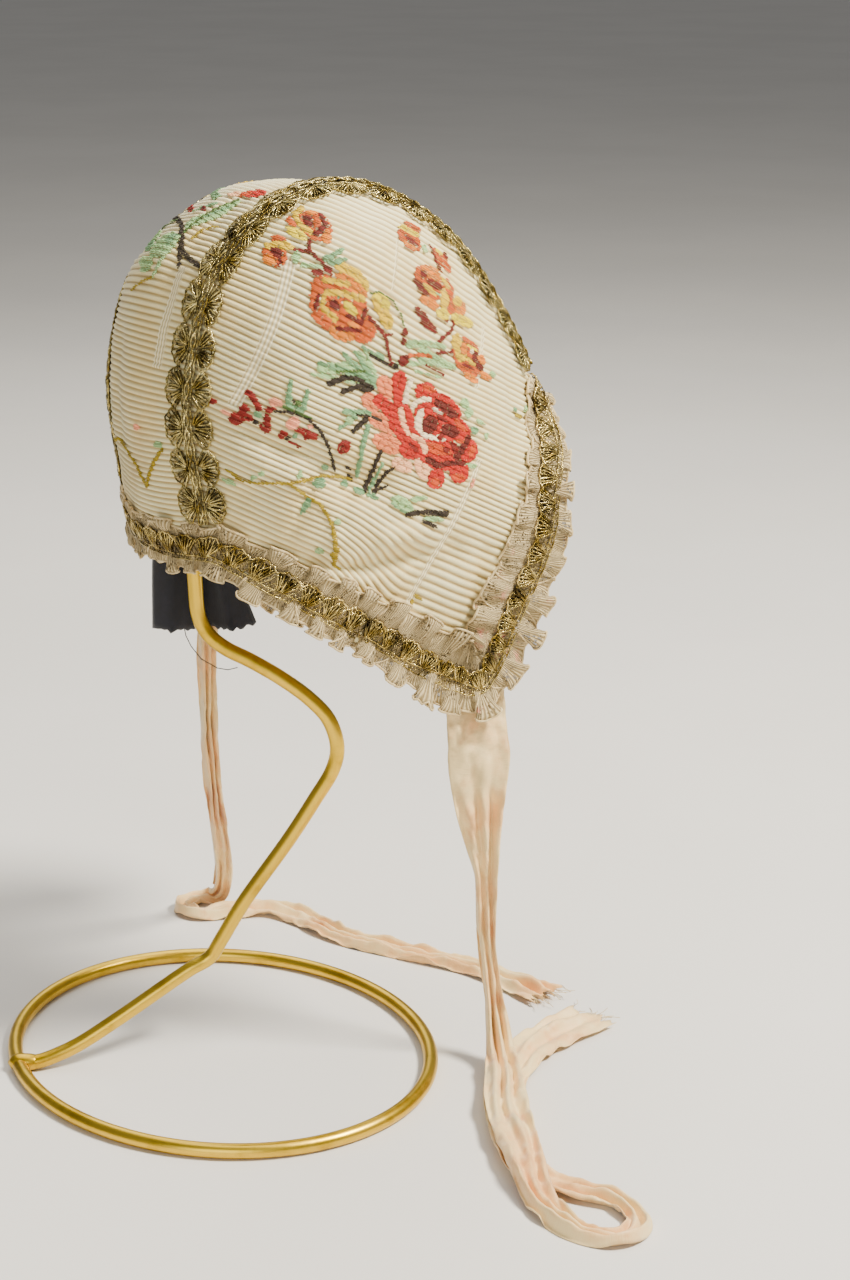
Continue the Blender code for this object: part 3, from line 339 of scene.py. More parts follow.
# The woven spray of a side panel, charted in millimetres along and across its ribs. A mark with six
# values is a petal (dye, along, across, half long, half wide, turn); the others are blades
# (dye, width at the start, width at the end, (along, across), ...)
SPRAY = (
    ("mist", 5.4, 2.2, (18.6, 28.2), (10.0, 29.0), (2.4, 25.2)),
    ("mist", 3.0, 1.6, (18.0, 30.6), (11.4, 33.6)),
    ("sage", 2.6, 1.2, (20, 28), (7, 31.5)), ("sage", 1.8, 0.9, (18, 29.5), (10, 33.4)),
    ("sage", 2.9, 1.0, (19, 27.6), (9, 27.6), (1.5, 26.6)), ("mist", 2.0, 0.8, (13, 26.2), (0.6, 22.8)),
    ("mist", 1.2, 0.7, (18, 31.2), (12, 35.8)), ("sage", 1.6, 0.8, (19, 35.6), (11.5, 35.4)),
    ("moss", 0.8, 0.6, (15, 30), (7, 26.5)),
    ("bark", 1.3, 1.9, (20, 26.4), (14, 27.1), (10, 26.0), (6.4, 22.4)),
    ("bark", 1.5, 1.9, (19.4, 25.2), (15, 25.0), (11.4, 22.0)),
    ("bark", 1.0, 0.7, (23.5, 34.6), (15, 34.8)),
    ("mist", 2.2, 1.2, (26, 42.2), (32, 44.8), (39, 46.4)), ("mist", 4.6, 1.2, (32, 41.4), (45, 42.6)),
    ("mist", 1.8, 1.0, (25, 36.5), (33, 39.4)), ("mist", 0.9, 0.5, (31, 36.6), (41, 38.0)),
    ("orange", 1.0, 1.3, (35, 42.2), (31, 41.3), (27.4, 39.6), (25, 36.8)),
    ("maroon", 26.2, 37.6, 2.0, 1.5, 40),
    ("bark", 23.6, 35.2, 1.8, 0.9, 0), ("maroon", 0.6, 0.8, (33.6, 39.4), (41.6, 39.2)),
    ("maroon", 0.7, 1.0, (43.2, 46.6), (40, 45.3), (36.6, 43.8)),
    ("maroon", 1.2, 1.2, (10, 43.2), (14, 41.9), (17.6, 41.0), (20, 38.2), (22.8, 35.2)),
    ("maroon", 0.6, 0.5, (17.4, 41.0), (19.6, 42.2)),
    ("moss", 0.5, 0.5, (9.5, 48.2), (12, 49.8), (17, 49.8), (21, 47.6), (23, 45.6)),
    ("maroon", 23.6, 44.4, 1.1, 1.0, 0), ("maroon", 24.2, 42.2, 0.9, 0.9, 0),
    ("maroon", 1.0, 1.1, (41, 54), (40.6, 51.6), (38.6, 49.6), (36, 46.8)),
    ("maroon", 37.6, 53.0, 0.9, 0.6, 0),
    ("maroon", 28.2, 50.8, 3.2, 1.0, -10), ("maroon", 31.4, 49.2, 3.4, 1.2, -4),
    ("deep", 32.0, 48.8, 2.2, 0.5, 0),
    ("orange", 2.0, 41.6, 8.6, 6.6, 10), ("orange", -3.6, 44.2, 3.8, 2.8, 40),
    ("orange", 11, 39.2, 3.8, 2.8, 30),
    ("orange", 0.0, 37.2, 5.0, 2.4, 0), ("peach", 4.6, 35.9, 4.0, 1.8, 10),
    ("orange", -3.4, 41.4, 3.6, 1.8, 60),
    ("yellow", 2.2, 50.6, 5.4, 1.6, -2), ("yellow", 6.6, 49.4, 2.5, 1.9, -30),
    ("peach", 3.8, 47.8, 5.2, 1.5, -6),
    ("yellow", 1.4, 1.6, (-4, 45.6), (-1, 46.6), (2.4, 47.3)),
    ("yellow", 1.6, 1.9, (-2.4, 43.2), (2, 44.9), (7.6, 46.0)),
    ("lemon", 4.9, 42.4, 2.6, 1.3, -12), ("yellow", 1.5, 1.9, (-3.0, 42.0), (-2.4, 39.2), (1.6, 38.3)),
    ("sage", 1.0, 43.4, 0.7, 0.3, 0), ("wine", 0.3, 41.3, 1.8, 1.1, 0),
    ("maroon", 1.4, 1.2, (-4.2, 41.2), (-4.2, 38.2)),
    ("maroon", 1.2, 1.4, (4.6, 40.4), (9.2, 40.4), (9.4, 43.8)),
    ("maroon", 1.0, 1.2, (9.6, 38.8), (6.4, 37.8), (3.0, 36.4)), ("peach", 7.0, 39.2, 2.0, 0.6, 10),
    ("lemon", 13.6, 48.0, 3.4, 1.7, 0), ("yellow", 16.4, 44.8, 3.1, 2.0, -18),
    ("yellow", 12.6, 46.2, 2.2, 1.0, -30),
    ("maroon", 1.0, 1.1, (-9.8, 55), (-9.3, 51.2), (-5.6, 49.6), (-2.4, 48)),
    ("maroon", 0.9, 0.7, (-9.3, 51), (-13.2, 49.8)), ("maroon", -3.4, 48.6, 1.5, 0.9, 30),
    ("maroon", -6.0, 46.6, 1.7, 0.9, 20),
    ("sage", 1.6, 1.2, (-4.8, 50.8), (-0.9, 55)), ("sage", 1.8, 1.2, (-3.2, 50.6), (0.4, 53.0)),
    ("mist", 1.2, 0.8, (-10.4, 46.8), (-5.4, 48.4)), ("mist", -12, 48.2, 1.2, 1.6, 0),
    ("orange", -9.0, 58.6, 4.6, 4.2, 0), ("peach", -9.4, 62.0, 2.2, 1.0, 0),
    ("peach", -5.6, 56.8, 1.4, 2.0, 0),
    ("yellow", 1.4, 1.9, (-12.4, 62.6), (-14.2, 60), (-13.2, 57.4), (-10, 56.2)),
    ("orange", -14.6, 57.0, 1.8, 1.1, -40),
    ("lemon", -13.0, 54.4, 2.8, 1.4, -10), ("wine", -10.4, 59.3, 2.0, 1.6, 0),
    ("orange", -8.6, 60.0, 1.0, 2.2, 10),
    ("maroon", 1.5, 1.8, (-7.8, 62.2), (-6.2, 59.8), (-8.2, 56.4)),
    ("orange", -17.0, 46.6, 3.0, 3.2, 0), ("orange", -16.6, 50.8, 2.0, 1.4, 0),
    ("yellow", -15.4, 49.9, 2.6, 1.2, 10),
    ("yellow", -18.6, 48.4, 1.4, 0.9, 30), ("wine", -16.7, 47.3, 1.6, 1.2, 0),
    ("wine", 0.9, 0.8, (-15.8, 46.6), (-15.4, 44.4)),
    ("peach", -18.0, 44.6, 1.8, 1.3, 0),
    ("orange", 21, 67.6, 4.6, 2.9, 0), ("lemon", 21, 70.0, 4.2, 1.1, 3),
    ("orange", 22.6, 72.0, 3.4, 1.1, 4),
    ("maroon", 21.6, 67.4, 2.7, 0.9, -5), ("peach", 21.0, 65.8, 3.0, 0.8, 0),
    ("orange", 34.6, 67.5, 4.4, 2.0, -18), ("lemon", 33.4, 69.2, 1.8, 0.8, 0),
    ("maroon", 36.5, 69.5, 1.4, 0.9, 0),
    ("maroon", 0.8, 0.8, (29.6, 69.4), (32, 65.6), (34.2, 64)), ("mist", 27.0, 67.5, 1.2, 1.0, 0),
    ("orange", 29.4, 59.4, 6.0, 3.8, 0), ("peach", 30, 62.2, 4.4, 1.6, 5),
    ("maroon", 31.6, 59.8, 3.4, 1.1, 5),
    ("maroon", 27, 60.6, 1.6, 0.9, 20), ("wine", 26.6, 57.0, 3.3, 1.1, -14),
    ("yellow", 30, 57.8, 3.0, 0.8, -8),
    ("peach", 30.6, 54.6, 4.4, 1.3, 4), ("orange", 39.4, 57.6, 2.6, 2.6, 0),
    ("yellow", 36.2, 58.0, 1.9, 2.9, 0),
    ("orange", 37.6, 61.4, 2.8, 1.8, -20), ("yellow", 36.0, 62.0, 2.2, 0.9, -20),
    ("lemon", 36.0, 54.0, 3.0, 1.4, 12),
    ("peach", 43.6, 58.4, 3.1, 1.9, 16), ("yellow", 42.2, 59.6, 2.6, 1.3, 20),
    ("lemon", 45, 55.6, 5.6, 1.4, 8),
    ("mist", 33.2, 58.0, 1.2, 0.4, 0),
    ("orange", 49.6, 46.2, 7.0, 3.9, -12), ("orange", 50, 51.1, 4.4, 1.1, -4),
    ("yellow", 43.4, 49.4, 2.3, 2.3, 0),
    ("lemon", 51.2, 50.3, 3.0, 0.7, 0), ("yellow", 45.8, 47.4, 3.2, 2.3, -30),
    ("peach", 47.2, 48.8, 1.6, 1.6, 0),
    ("cream", 51.6, 49.0, 1.8, 0.7, -8), ("maroon", 54.4, 47.2, 3.6, 1.7, -22),
    ("maroon", 53.4, 49.3, 2.0, 0.6, -12),
    ("peach", 56.4, 48.6, 2.4, 1.2, -10), ("peach", 59.2, 44.4, 3.0, 1.1, -4),
    ("peach", 53.0, 42.0, 3.8, 1.0, -6),
    ("yellow", 50.6, 46.4, 3.0, 0.7, -10), ("maroon", 50.2, 44.6, 3.0, 0.5, 0),
    ("wine", 56.0, 46.2, 2.0, 0.8, -12),
    ("mist", 53.0, 34.0, 1.9, 1.4, 0), ("mist", 55.6, 31.8, 1.7, 1.7, 0), ("mist", 61.4, 30.6, 2.2, 0.6, 0),
    ("sage", 60.2, 27.6, 2.0, 1.1, 0), ("mist", 66.0, 27.6, 1.0, 1.0, 0),
    ("mist", 63.6, 17.2, 3.0, 0.7, 12),
    ("rose", 66.8, 12.2, 0.5, 1.8, 0), ("mist", 62.6, 46.0, 1.6, 0.8, 0),
    ("salmon", 24.2, 28.4, 4.4, 2.7, -24), ("salmon", 21.4, 22.6, 4.0, 2.6, -8),
    ("salmon", 27.6, 18.2, 6.6, 2.3, -6),
    ("salmon", 32.2, 13.0, 5.6, 2.8, -2), ("blush", 40.2, 8.9, 4.0, 2.1, 0),
    ("blush", 47.0, 10.4, 4.4, 2.3, -36),
    ("coral", 5.0, 4.2, (27.0, 32.2), (29.0, 28.4), (31.6, 24.4)), ("coral", 37.8, 31.8, 4.2, 3.2, -6),
    ("coral", 47.0, 30.8, 6.4, 2.7, -14), ("coral", 54.8, 25.8, 5.2, 2.8, -20),
    ("coral", 60.8, 21.0, 3.6, 3.7, 0),
    ("coral", 60.4, 13.8, 3.7, 3.4, 0), ("coral", 53.2, 9.2, 3.1, 3.3, 0),
    ("coral", 49.6, 16.6, 9.4, 4.8, -4),
    ("coral", 40.2, 14.0, 4.0, 2.8, 0), ("coral", 45.6, 25.2, 9.2, 5.2, -8),
    ("coral", 4.2, 5.0, (30, 26.2), (34, 23.4), (39.4, 18.2)),
    ("coral", 3.8, 4.2, (23.4, 24.0), (27, 23.2), (32, 20.6)),
    ("coral", 3.2, 3.2, (31, 19.4), (37, 16.4), (46, 14.6)),
    ("flame", 49.6, 17.8, 5.4, 1.7, 6), ("flame", 54.0, 27.2, 3.4, 0.9, -18),
    ("flame", 38.0, 33.4, 2.6, 0.9, 0),
    ("flame", 60.6, 12.4, 2.6, 1.1, 14), ("flame", 62.0, 21.6, 1.5, 2.0, 0),
    ("flame", 53.4, 8.0, 1.8, 1.4, 0),
    ("cream", 1.8, 2.2, (30.9, 33.4), (31.0, 30.4), (32.0, 27.2)),
    ("cream", 1.6, 2.0, (39.6, 30.4), (36.8, 29.6), (35.0, 26.6)),
    ("cream", 3.0, 1.2, (38.6, 25.6), (39.4, 21.8), (43.6, 20.0), (50.6, 21.2)),
    ("blush", 2.2, 1.6, (31.8, 24.0), (34.6, 20.4), (37.4, 18.6)),
    ("blush", 1.6, 2.2, (39.0, 18.4), (43.4, 17.8), (45.6, 15.8)),
    ("cream", 1.0, 1.2, (42.0, 28.6), (46.0, 27.8)),
    ("wine", 46.6, 30.0, 5.6, 1.5, -8), ("wine", 43.4, 23.6, 2.9, 2.9, -30),
    ("wine", 51.2, 24.4, 3.5, 2.0, 0),
    ("wine", 2.2, 3.2, (58.8, 24.6), (58.0, 21.4), (57.2, 18.4)),
    ("wine", 1.4, 2.3, (60.8, 17.0), (56.4, 15.6), (52.0, 13.2), (48.0, 13.6)),
    ("deep", 52.6, 18.6, 1.4, 0.9, 0), ("deep", 55.0, 20.2, 2.4, 1.1, -30),
    ("deep", 46.4, 26.8, 2.4, 0.8, -10),
    ("deep", 48.8, 21.6, 1.2, 1.2, 0), ("flame", 56.0, 22.8, 1.6, 0.8, 0),
    ("deep", 41.2, 15.2, 2.6, 0.6, -16),
    ("sage", 2.2, 1.6, (22, 19), (14.4, 16.8)), ("sage", 1.8, 1.0, (18.6, 16.8), (15.0, 11.4)),
    ("mist", 17.0, 14.8, 1.6, 1.2, 0), ("bark", 1.0, 0.7, (27, 18.7), (22, 18.3), (18.4, 17.2)),
    ("bark", 1.9, 1.6, (22.2, 17.4), (19.6, 12.4)),
    ("sage", 1.9, 1.3, (23.6, 15.2), (24.6, 9), (28.6, 0.6)),
    ("bark", 1.6, 1.6, (31.3, 9.8), (32.0, 2.4)), ("bark", 1.7, 1.5, (32.4, 1.4), (32.8, -3)),
    ("sage", 1.0, 1.2, (33.8, 7), (34.5, -4)), ("bark", 1.0, 1.6, (38.0, 7.2), (36.2, 4.6), (36.0, -2.6)),
    ("bark", 0.7, 0.8, (39.6, 1.4), (37.0, -1)), ("sage", 31, -3.8, 2.2, 1.0, 0),
    ("sage", 36.4, -3.6, 2.4, 0.7, 0),
    ("sage", 25.6, -3.5, 1.5, 1.1, 0), ("bark", 26.8, -1.0, 1.6, 0.8, -30),
    ("bark", 24.6, 1.5, 1.6, 0.4, -10),
    ("mist", 46.2, -2.2, 4.2, 2.0, -8), ("sage", 0.6, 0.8, (42.6, -3.4), (50, -4.4)),
    ("mist", 50.4, 1.4, 3.2, 0.9, 28),
    ("bark", 1.5, 2.1, (49.2, -4.4), (53, -2.2), (56, -1.2), (62.4, 0.4)),
    ("bark", 57.6, -4.7, 3.6, 0.6, 2),
    ("mist", 58.2, -2.7, 4.0, 0.8, 16),
    ("crimson", 1.8, 1.6, (-11.8, 10.4), (-9.4, 9.2), (-7.6, 7.4)), ("crimson", -4.8, 8.4, 1.7, 0.9, 30),
    ("crimson", -10.6, 5.4, 1.3, 1.6, 0), ("crimson", -11, 1.8, 1.9, 1.9, 0),
    ("crimson", -8.8, 3.6, 1.6, 1.2, 0),
    ("crimson", -17.6, 3.8, 0.9, 1.0, 0), ("rose", -13.8, 2.3, 1.4, 0.8, 0),
    ("crimson", 1.6, 2.0, (-4.8, 6.2), (-3, 2.4)),
    ("crimson", 1.0, 1.2, (-6.2, 3.2), (-3, 1.9)), ("crimson", 1.2, 3.0, 1.2, 1.4, 0),
    ("crimson", 1.4, 2.2, (3.8, 6.2), (9.6, 6.4)),
    ("crimson", 7.6, 5.2, 1.4, 0.8, 0), ("crimson", 5.0, 2.1, 1.4, 0.6, 0),
    ("crimson", 7.4, 1.6, 0.8, 0.6, 0),
    ("rose", 2.0, 7.4, 1.9, 2.1, 0), ("rose", -4.6, 10.9, 1.8, 1.3, 20), ("sage", -7.0, 5.6, 1.1, 0.8, 0),
    ("sage", 4.5, 4.2, 1.0, 0.8, 0), ("bark", -6.6, 3.0, 0.9, 0.7, 0), ("bark", 3.0, 2.7, 0.8, 0.8, 0),
    ("crimson", 19.2, 7.0, 1.9, 2.2, 0), ("deep", 18.8, 6.4, 0.8, 1.2, 0),
    ("bark", 0.7, 0.9, (-3.6, 8.6), (0, 10), (5.6, 10.6)), ("moss", 1.0, 1.1, (-2.2, 11), (5.6, 10.7)),
    ("bark", 0.9, 0.9, (5.5, 10.2), (10, 8.6), (14, 5.8), (17, 3.2), (20.6, -0.4)),
    ("bark", 0.7, 13.4, 3.6, 0.3, 0),
    ("sage", 1.2, 1.9, (-3.8, 18.6), (-1.4, 12)), ("sage", 1.2, 1.7, (1.6, 18.2), (2.8, 12)),
    ("sage", 0.4, 11.9, 2.6, 0.8, 0),
    ("moss", 0.8, 13.4, 0.9, 0.9, 0), ("rose", 7.0, 8.4, 1.0, 0.5, 0),
    ("olive", 0.8, 0.9, (-6, -13.4), (-1.6, -14.6), (2, -13.5), (6, -11.3), (10, -9.3), (14, -6.5),
     (18, -3.8), (23, -2), (27.4, -1.3)),
    ("olive", 0.9, 1.1, (10, -9.8), (15, -11.2), (20, -11.8), (24, -14), (27.5, -16.8), (30, -20.5),
     (32.5, -24.4)),
    ("olive", 1.6, 0.8, (32.2, -23.4), (34.2, -27.6), (37.4, -28.3)), ("olive", 32.0, -23.6, 1.0, 1.6, 0),
    ("sage", 17.4, -1.0, 1.2, 0.9, 0), ("sage", 18, -6.2, 1.8, 1.6, 0), ("mist", 11, -6.2, 0.8, 1.3, 0),
    ("mist", 1.6, -10.0, 0.8, 0.9, 0), ("mist", 0.6, -12.2, 0.8, 0.8, 0),
    ("sage", 17.4, -14.2, 1.3, 2.8, 0),
    ("mist", 28.2, -15, 1.4, 0.8, 0), ("mist", -3.6, -16.6, 2.0, 0.7, 0), ("mist", 28, -25, 1.5, 0.8, 0),
    ("olive", 69.0, -27.4, 1.9, 0.6, -8), ("olive", 67.8, -29.6, 0.9, 0.8, 0),
    ("olive", 82, 38.0, 2.3, 0.6, 4),
    ("sage", 79.8, 39.3, 1.0, 0.8, 0), ("mist", 84.6, 41.0, 0.8, 1.1, 0),
)

# The woven twigs of the crown panel, charted in millimetres across and along it from the nape
TWIGS = (
    ("mist", -5.4, 87.0, 6.0, 4.2, 0), ("sage", -7.6, 88.8, 3.0, 2.2, 0), ("mist", -3.0, 81.0, 4.0, 2.0, 0),
    ("mist", 4.4, 2.6, (-9.6, 95.4), (-14.0, 101.0), (-15.6, 107.0)),
    ("sage", 1.6, 1.0, (-10.4, 97.0), (-15.0, 105.0)),
    ("bark", 1.4, 1.5, (-27, 84), (-20, 85.4), (-15, 86.6), (-11, 90.4), (-6, 94), (4, 97), (15, 99.5),
     (24, 104)),
    ("bark", 1.5, 1.0, (-11.5, 90.0), (-14.3, 86.0), (-17.6, 82.6)),
    ("moss", 1.2, 0.9, (-15, 108), (-12, 103), (-11, 98), (-10.4, 92)),
    ("moss", 0.8, 0.8, (4, 97), (12, 94.6), (26, 97)),
    ("mist", 1.8, 1.2, (-10, 90), (-10.6, 85), (-9.6, 79)), ("mist", -5.0, 86.4, 3.6, 1.6, 10),
    ("mist", 0.0, 82.0, 4.0, 1.0, 0),
    ("mist", 13.0, 91.0, 8.0, 2.6, 10), ("mist", 21.0, 99.0, 6.0, 2.6, 0),
    ("sage", 6.0, 87.0, 5.0, 1.8, 20),
    ("sage", 2.4, 1.2, (-4, 107), (6, 110), (16, 117)), ("sage", 1.6, 0.8, (-9, 104), (-2, 100)),
    ("mist", 1.6, 1.0, (8, 90), (20, 93)),
    ("coral", -18.0, 112.4, 3.8, 2.2, -14), ("flame", -14.5, 111.0, 2.6, 1.2, -14),
    ("blush", -10.5, 109.6, 2.8, 1.2, -10),
    ("maroon", -7.0, 101.2, 2.0, 0.7, 14), ("crimson", 1.8, 1.4, (2, 101), (10, 103.4), (20, 107)),
    ("olive", 0.8, 0.8, (-20, 97.2), (-17, 96.6), (-15, 94.6), (-14.2, 91)),
    ("olive", 0.8, 0.6, (-9, 78.4), (-4, 76.8), (1, 74.6)),
    ("olive", 1.0, 1.3, (-21, 33), (-17, 29), (-13, 23.4), (-11, 20.4)),
    ("olive", 1.3, 0.8, (-11, 20.4), (-7, 26.6), (-1, 30.4), (8, 31.4), (20, 28)),
    ("mist", -19.4, 34.2, 1.8, 0.9, 0), ("rose", -10.4, 38.2, 1.6, 0.8, 0),
    ("mist", 24.0, 34.0, 2.6, 1.0, 0),
    ("coral", 0.0, 152.0, 8.0, 5.4, 10), ("coral", -6.4, 148.0, 3.6, 3.0, 0),
    ("coral", 6.6, 155.6, 3.8, 2.8, 0), ("salmon", -3.0, 157.2, 4.4, 2.2, 12),
    ("salmon", 5.0, 147.4, 4.2, 2.0, 0), ("wine", -0.6, 152.6, 3.4, 1.8, 20),
    ("deep", 3.4, 149.6, 2.2, 1.0, 0), ("cream", 1.2, 1.6, (-5, 153.4), (-1, 155.6), (4, 154.6)),
    ("sage", 2.2, 1.0, (-8, 146), (-18, 141)), ("bark", 1.8, 1.0, (-7, 143.6), (-14, 137)),
    ("sage", 2.0, 1.0, (9, 158), (19, 163)),
    ("maroon", 1.1, 1.0, (-2, 146), (2, 138), (9, 130), (12, 122)), ("yellow", 12, 122, 4.0, 3.0, 0),
    ("orange", 13.6, 120.4, 2.8, 2.0, 0), ("maroon", 12.6, 121.4, 1.2, 0.9, 0),
    ("olive", 0.9, 0.9, (4, 160), (0, 170), (5, 180), (1, 192)), ("mist", 4.4, 178, 2.2, 1.2, 30),
    ("sage", -1.6, 188, 2.4, 1.2, -30),
    ("yellow", 1.0, 197.0, 3.6, 3.0, 0), ("orange", 2.0, 195.4, 2.4, 1.8, 0),
    ("wine", 1.4, 196.4, 1.1, 0.8, 0), ("mist", -14, 206, 4.0, 1.4, 10),
)


def linear(rgb):
    """Linear colour of a screen colour given from 0 to 255."""
    share = np.asarray(rgb, dtype=float) / 255.0
    return np.where(share <= 0.04045, share / 12.92, ((share + 0.055) / 1.055) ** 2.4)


def vivid(rgb, amount=1.32):
    """Linear colour pushed away from grey, because the picture's tone curve dulls it."""
    tone = linear(rgb)
    grey = tone @ np.array((0.2126, 0.7152, 0.0722))
    return np.clip(grey + (tone - grey) * amount, 0.0015, 0.96)


def ease(value):
    """Smooth step from 0 to 1."""
    value = np.clip(value, 0.0, 1.0)
    return value * value * (3.0 - 2.0 * value)


def unit(rows):
    """Rows of vectors, each brought to length 1."""
    size = np.linalg.norm(rows, axis=-1, keepdims=True)
    return rows / np.maximum(size, 1e-12)


def in_metres(rows, *columns):
    """Chosen columns of a table in millimetres, as metres."""
    return np.array([[row[column] for column in columns] for row in rows]) * MM


def lengths(points):
    """Length run along a line of points at each of them."""
    return np.concatenate(((0.0,), np.cumsum(np.linalg.norm(np.diff(points, axis=0), axis=1))))


def at_lengths(want, run, table):
    """Rows of a table read at wanted lengths."""
    return np.stack([np.interp(want, run, table[:, axis]) for axis in range(table.shape[1])], axis=1)


def curve_through(knots, count):
    """Even points on a smooth curve through the given ones, their row numbers and the length there."""
    last = len(knots) - 1
    hops = np.sqrt(np.linalg.norm(np.diff(knots, axis=0), axis=1))
    steps = np.concatenate(((0.0,), np.cumsum(hops)))
    fine = []
    rows = []
    for piece in range(last):
        p1 = knots[piece]
        p2 = knots[piece + 1]
        p0 = knots[piece - 1] if piece > 0 else p1 * 2.0 - p2
        p3 = knots[piece + 2] if piece + 2 <= last else p2 * 2.0 - p1
        t1 = steps[piece]
        t2 = steps[piece + 1]
        t0 = steps[piece - 1] if piece > 0 else t1 - (t2 - t1)
        t3 = steps[piece + 2] if piece + 2 <= last else t2 + (t2 - t1)
        for part in range(SPLINE_PARTS):
            t = t1 + (t2 - t1) * part / SPLINE_PARTS
            a1 = p0 * ((t1 - t) / (t1 - t0)) + p1 * ((t - t0) / (t1 - t0))
            a2 = p1 * ((t2 - t) / (t2 - t1)) + p2 * ((t - t1) / (t2 - t1))
            a3 = p2 * ((t3 - t) / (t3 - t2)) + p3 * ((t - t2) / (t3 - t2))
            b1 = a1 * ((t2 - t) / (t2 - t0)) + a2 * ((t - t0) / (t2 - t0))
            b2 = a2 * ((t3 - t) / (t3 - t1)) + a3 * ((t - t1) / (t3 - t1))
            fine.append(b1 * ((t2 - t) / (t2 - t1)) + b2 * ((t - t1) / (t2 - t1)))
            rows.append(piece + part / SPLINE_PARTS)
    fine = np.array(fine + [knots[last]])
    rows = np.array(rows + [float(last)])
    run = lengths(fine)
    want = np.linspace(0.0, run[-1], count)
    return at_lengths(want, run, fine), np.interp(want, run, rows), want


SEAM_FINE, SEAM_ROW, SEAM_RUN = curve_through(in_metres(SEAM_ROWS, 1, 2), PROFILE_POINTS)
EDGE_FINE = curve_through(in_metres(EDGE_ROWS, 1, 2), PROFILE_POINTS)[0]
SEAM_LENGTH = SEAM_RUN[-1]
SEAM_HALF, SEAM_SWELL = [np.interp(SEAM_ROW, range(len(SEAM_ROWS)), column)
                         for column in in_metres(SEAM_ROWS, 3, 4).T]
SIDE_MIDDLE = np.array((-45.0, 213.0)) * MM
HOOD_MIDDLE = np.array((0.0, -45.0, 225.0)) * MM


def normals_of(line, outward):
    """Directions square to a flat line, away from the side's middle or towards it."""
    spread = np.arange(len(line))
    along = unit(line[np.minimum(spread + 4, len(line) - 1)] - line[np.maximum(spread - 3, 0)])
    out = np.stack((along[:, 1], -along[:, 0]), axis=1)
    facing = np.sum(out * (line - SIDE_MIDDLE), axis=1) > 0.0
    return np.where((facing == outward)[:, None], out, -out)


SEAM_OUT = normals_of(SEAM_FINE, True)
EDGE_IN = normals_of(EDGE_FINE, False)


def along_table(share, table):
    """Rows of a fine table at shares of its length."""
    spot = np.clip(share, 0.0, 1.0) * (len(table) - 1.0)
    low = np.minimum(spot.astype(int), len(table) - 2)
    part = spot - low
    if table.ndim > 1:
        part = part[..., None]
    return table[low] * (1.0 - part) + table[low + 1] * part


def lean(points):
    """Let the crown slope down to the left as it sits on the pad."""
    amount = ease((points[..., 2] - LEAN_START) / (LEAN_FULL - LEAN_START))
    points[..., 2] -= CROWN_LEAN * points[..., 0] * amount
    return points


def turned(first, second):
    """Turn a pair of values from a side panel's own directions to those of its ribs, or back."""
    return (-math.cos(RIB_TURN) * first - math.sin(RIB_TURN) * second,
            -math.sin(RIB_TURN) * first + math.cos(RIB_TURN) * second)


def from_chart(along, over):
    """Flat place, back and up, of a place charted along and across the ribs of a side panel."""
    u = (np.asarray(along, dtype=float) - CHART_START[0]) * MM
    v = (np.asarray(over, dtype=float) + CHART_START[1]) * MM
    return np.stack(turned(u, v), axis=-1)


def to_chart(flat):
    """Chart values, in millimetres, of flat places of a side panel."""
    u, v = turned(flat[..., 0], flat[..., 1])
    return u / MM + CHART_START[0], v / MM - CHART_START[1]


def line_gap(spots, start, end):
    """Distance of flat places from a straight stretch."""
    run = end - start
    part = np.clip(np.sum((spots - start) * run, axis=-1) / max(np.sum(run * run), 1e-12), 0.0, 1.0)
    return np.linalg.norm(spots - start - part[..., None] * run, axis=-1)


def dents(spots, rows):
    """Depth of a table's dents at flat places, all in millimetres."""
    total = np.zeros(len(spots))
    for name, first, second, first_end, second_end, reach, depth in rows:
        gap = line_gap(spots, np.array((first, second)), np.array((first_end, second_end))) / reach
        total += depth * np.exp(-gap * gap)
    return total


def side_surface(flat, sign):
    """Smooth face of a side panel over flat places, without its ribs."""
    spots = flat.reshape(-1, 2)
    best = np.full(len(spots), 1.0)
    half = np.full(len(spots), DOME_START)
    for index in range(PROFILE_POINTS - 1):
        a = SEAM_FINE[index]
        run = SEAM_FINE[index + 1] - a
        part = np.clip(((spots - a) @ run) / (run @ run), 0.0, 1.0)
        gap = np.linalg.norm(spots - a - part[:, None] * run, axis=1)
        nearer = gap < best
        best = np.where(nearer, gap, best)
        half = np.where(nearer, SEAM_HALF[index] * (1.0 - part) + SEAM_HALF[index + 1] * part, half)
    dome = 1.0 - (1.0 - np.minimum(best / SWELL_REACH, 1.0)) ** SWELL_POWER
    tuck = ease((NECK_TUCK_TOP - spots[:, 1]) / NECK_TUCK_DEPTH)
    front = ease((FRONT_TUCK_START - spots[:, 0]) / FRONT_TUCK_REACH)
    wide = half + (HALF_WIDTH - half) * dome
    wide -= NECK_TUCK * tuck + FRONT_TUCK * front * dome * (1.0 - tuck)
    charted = np.stack(to_chart(spots), axis=1)
    wide -= MM * (dents(spots / MM, SIDE_DENTS) + dents(charted, PUCKERS))
    points = lean(np.stack((sign * wide, spots[:, 0], spots[:, 1]), axis=1))
    return points.reshape(flat.shape[:-1] + (3,))


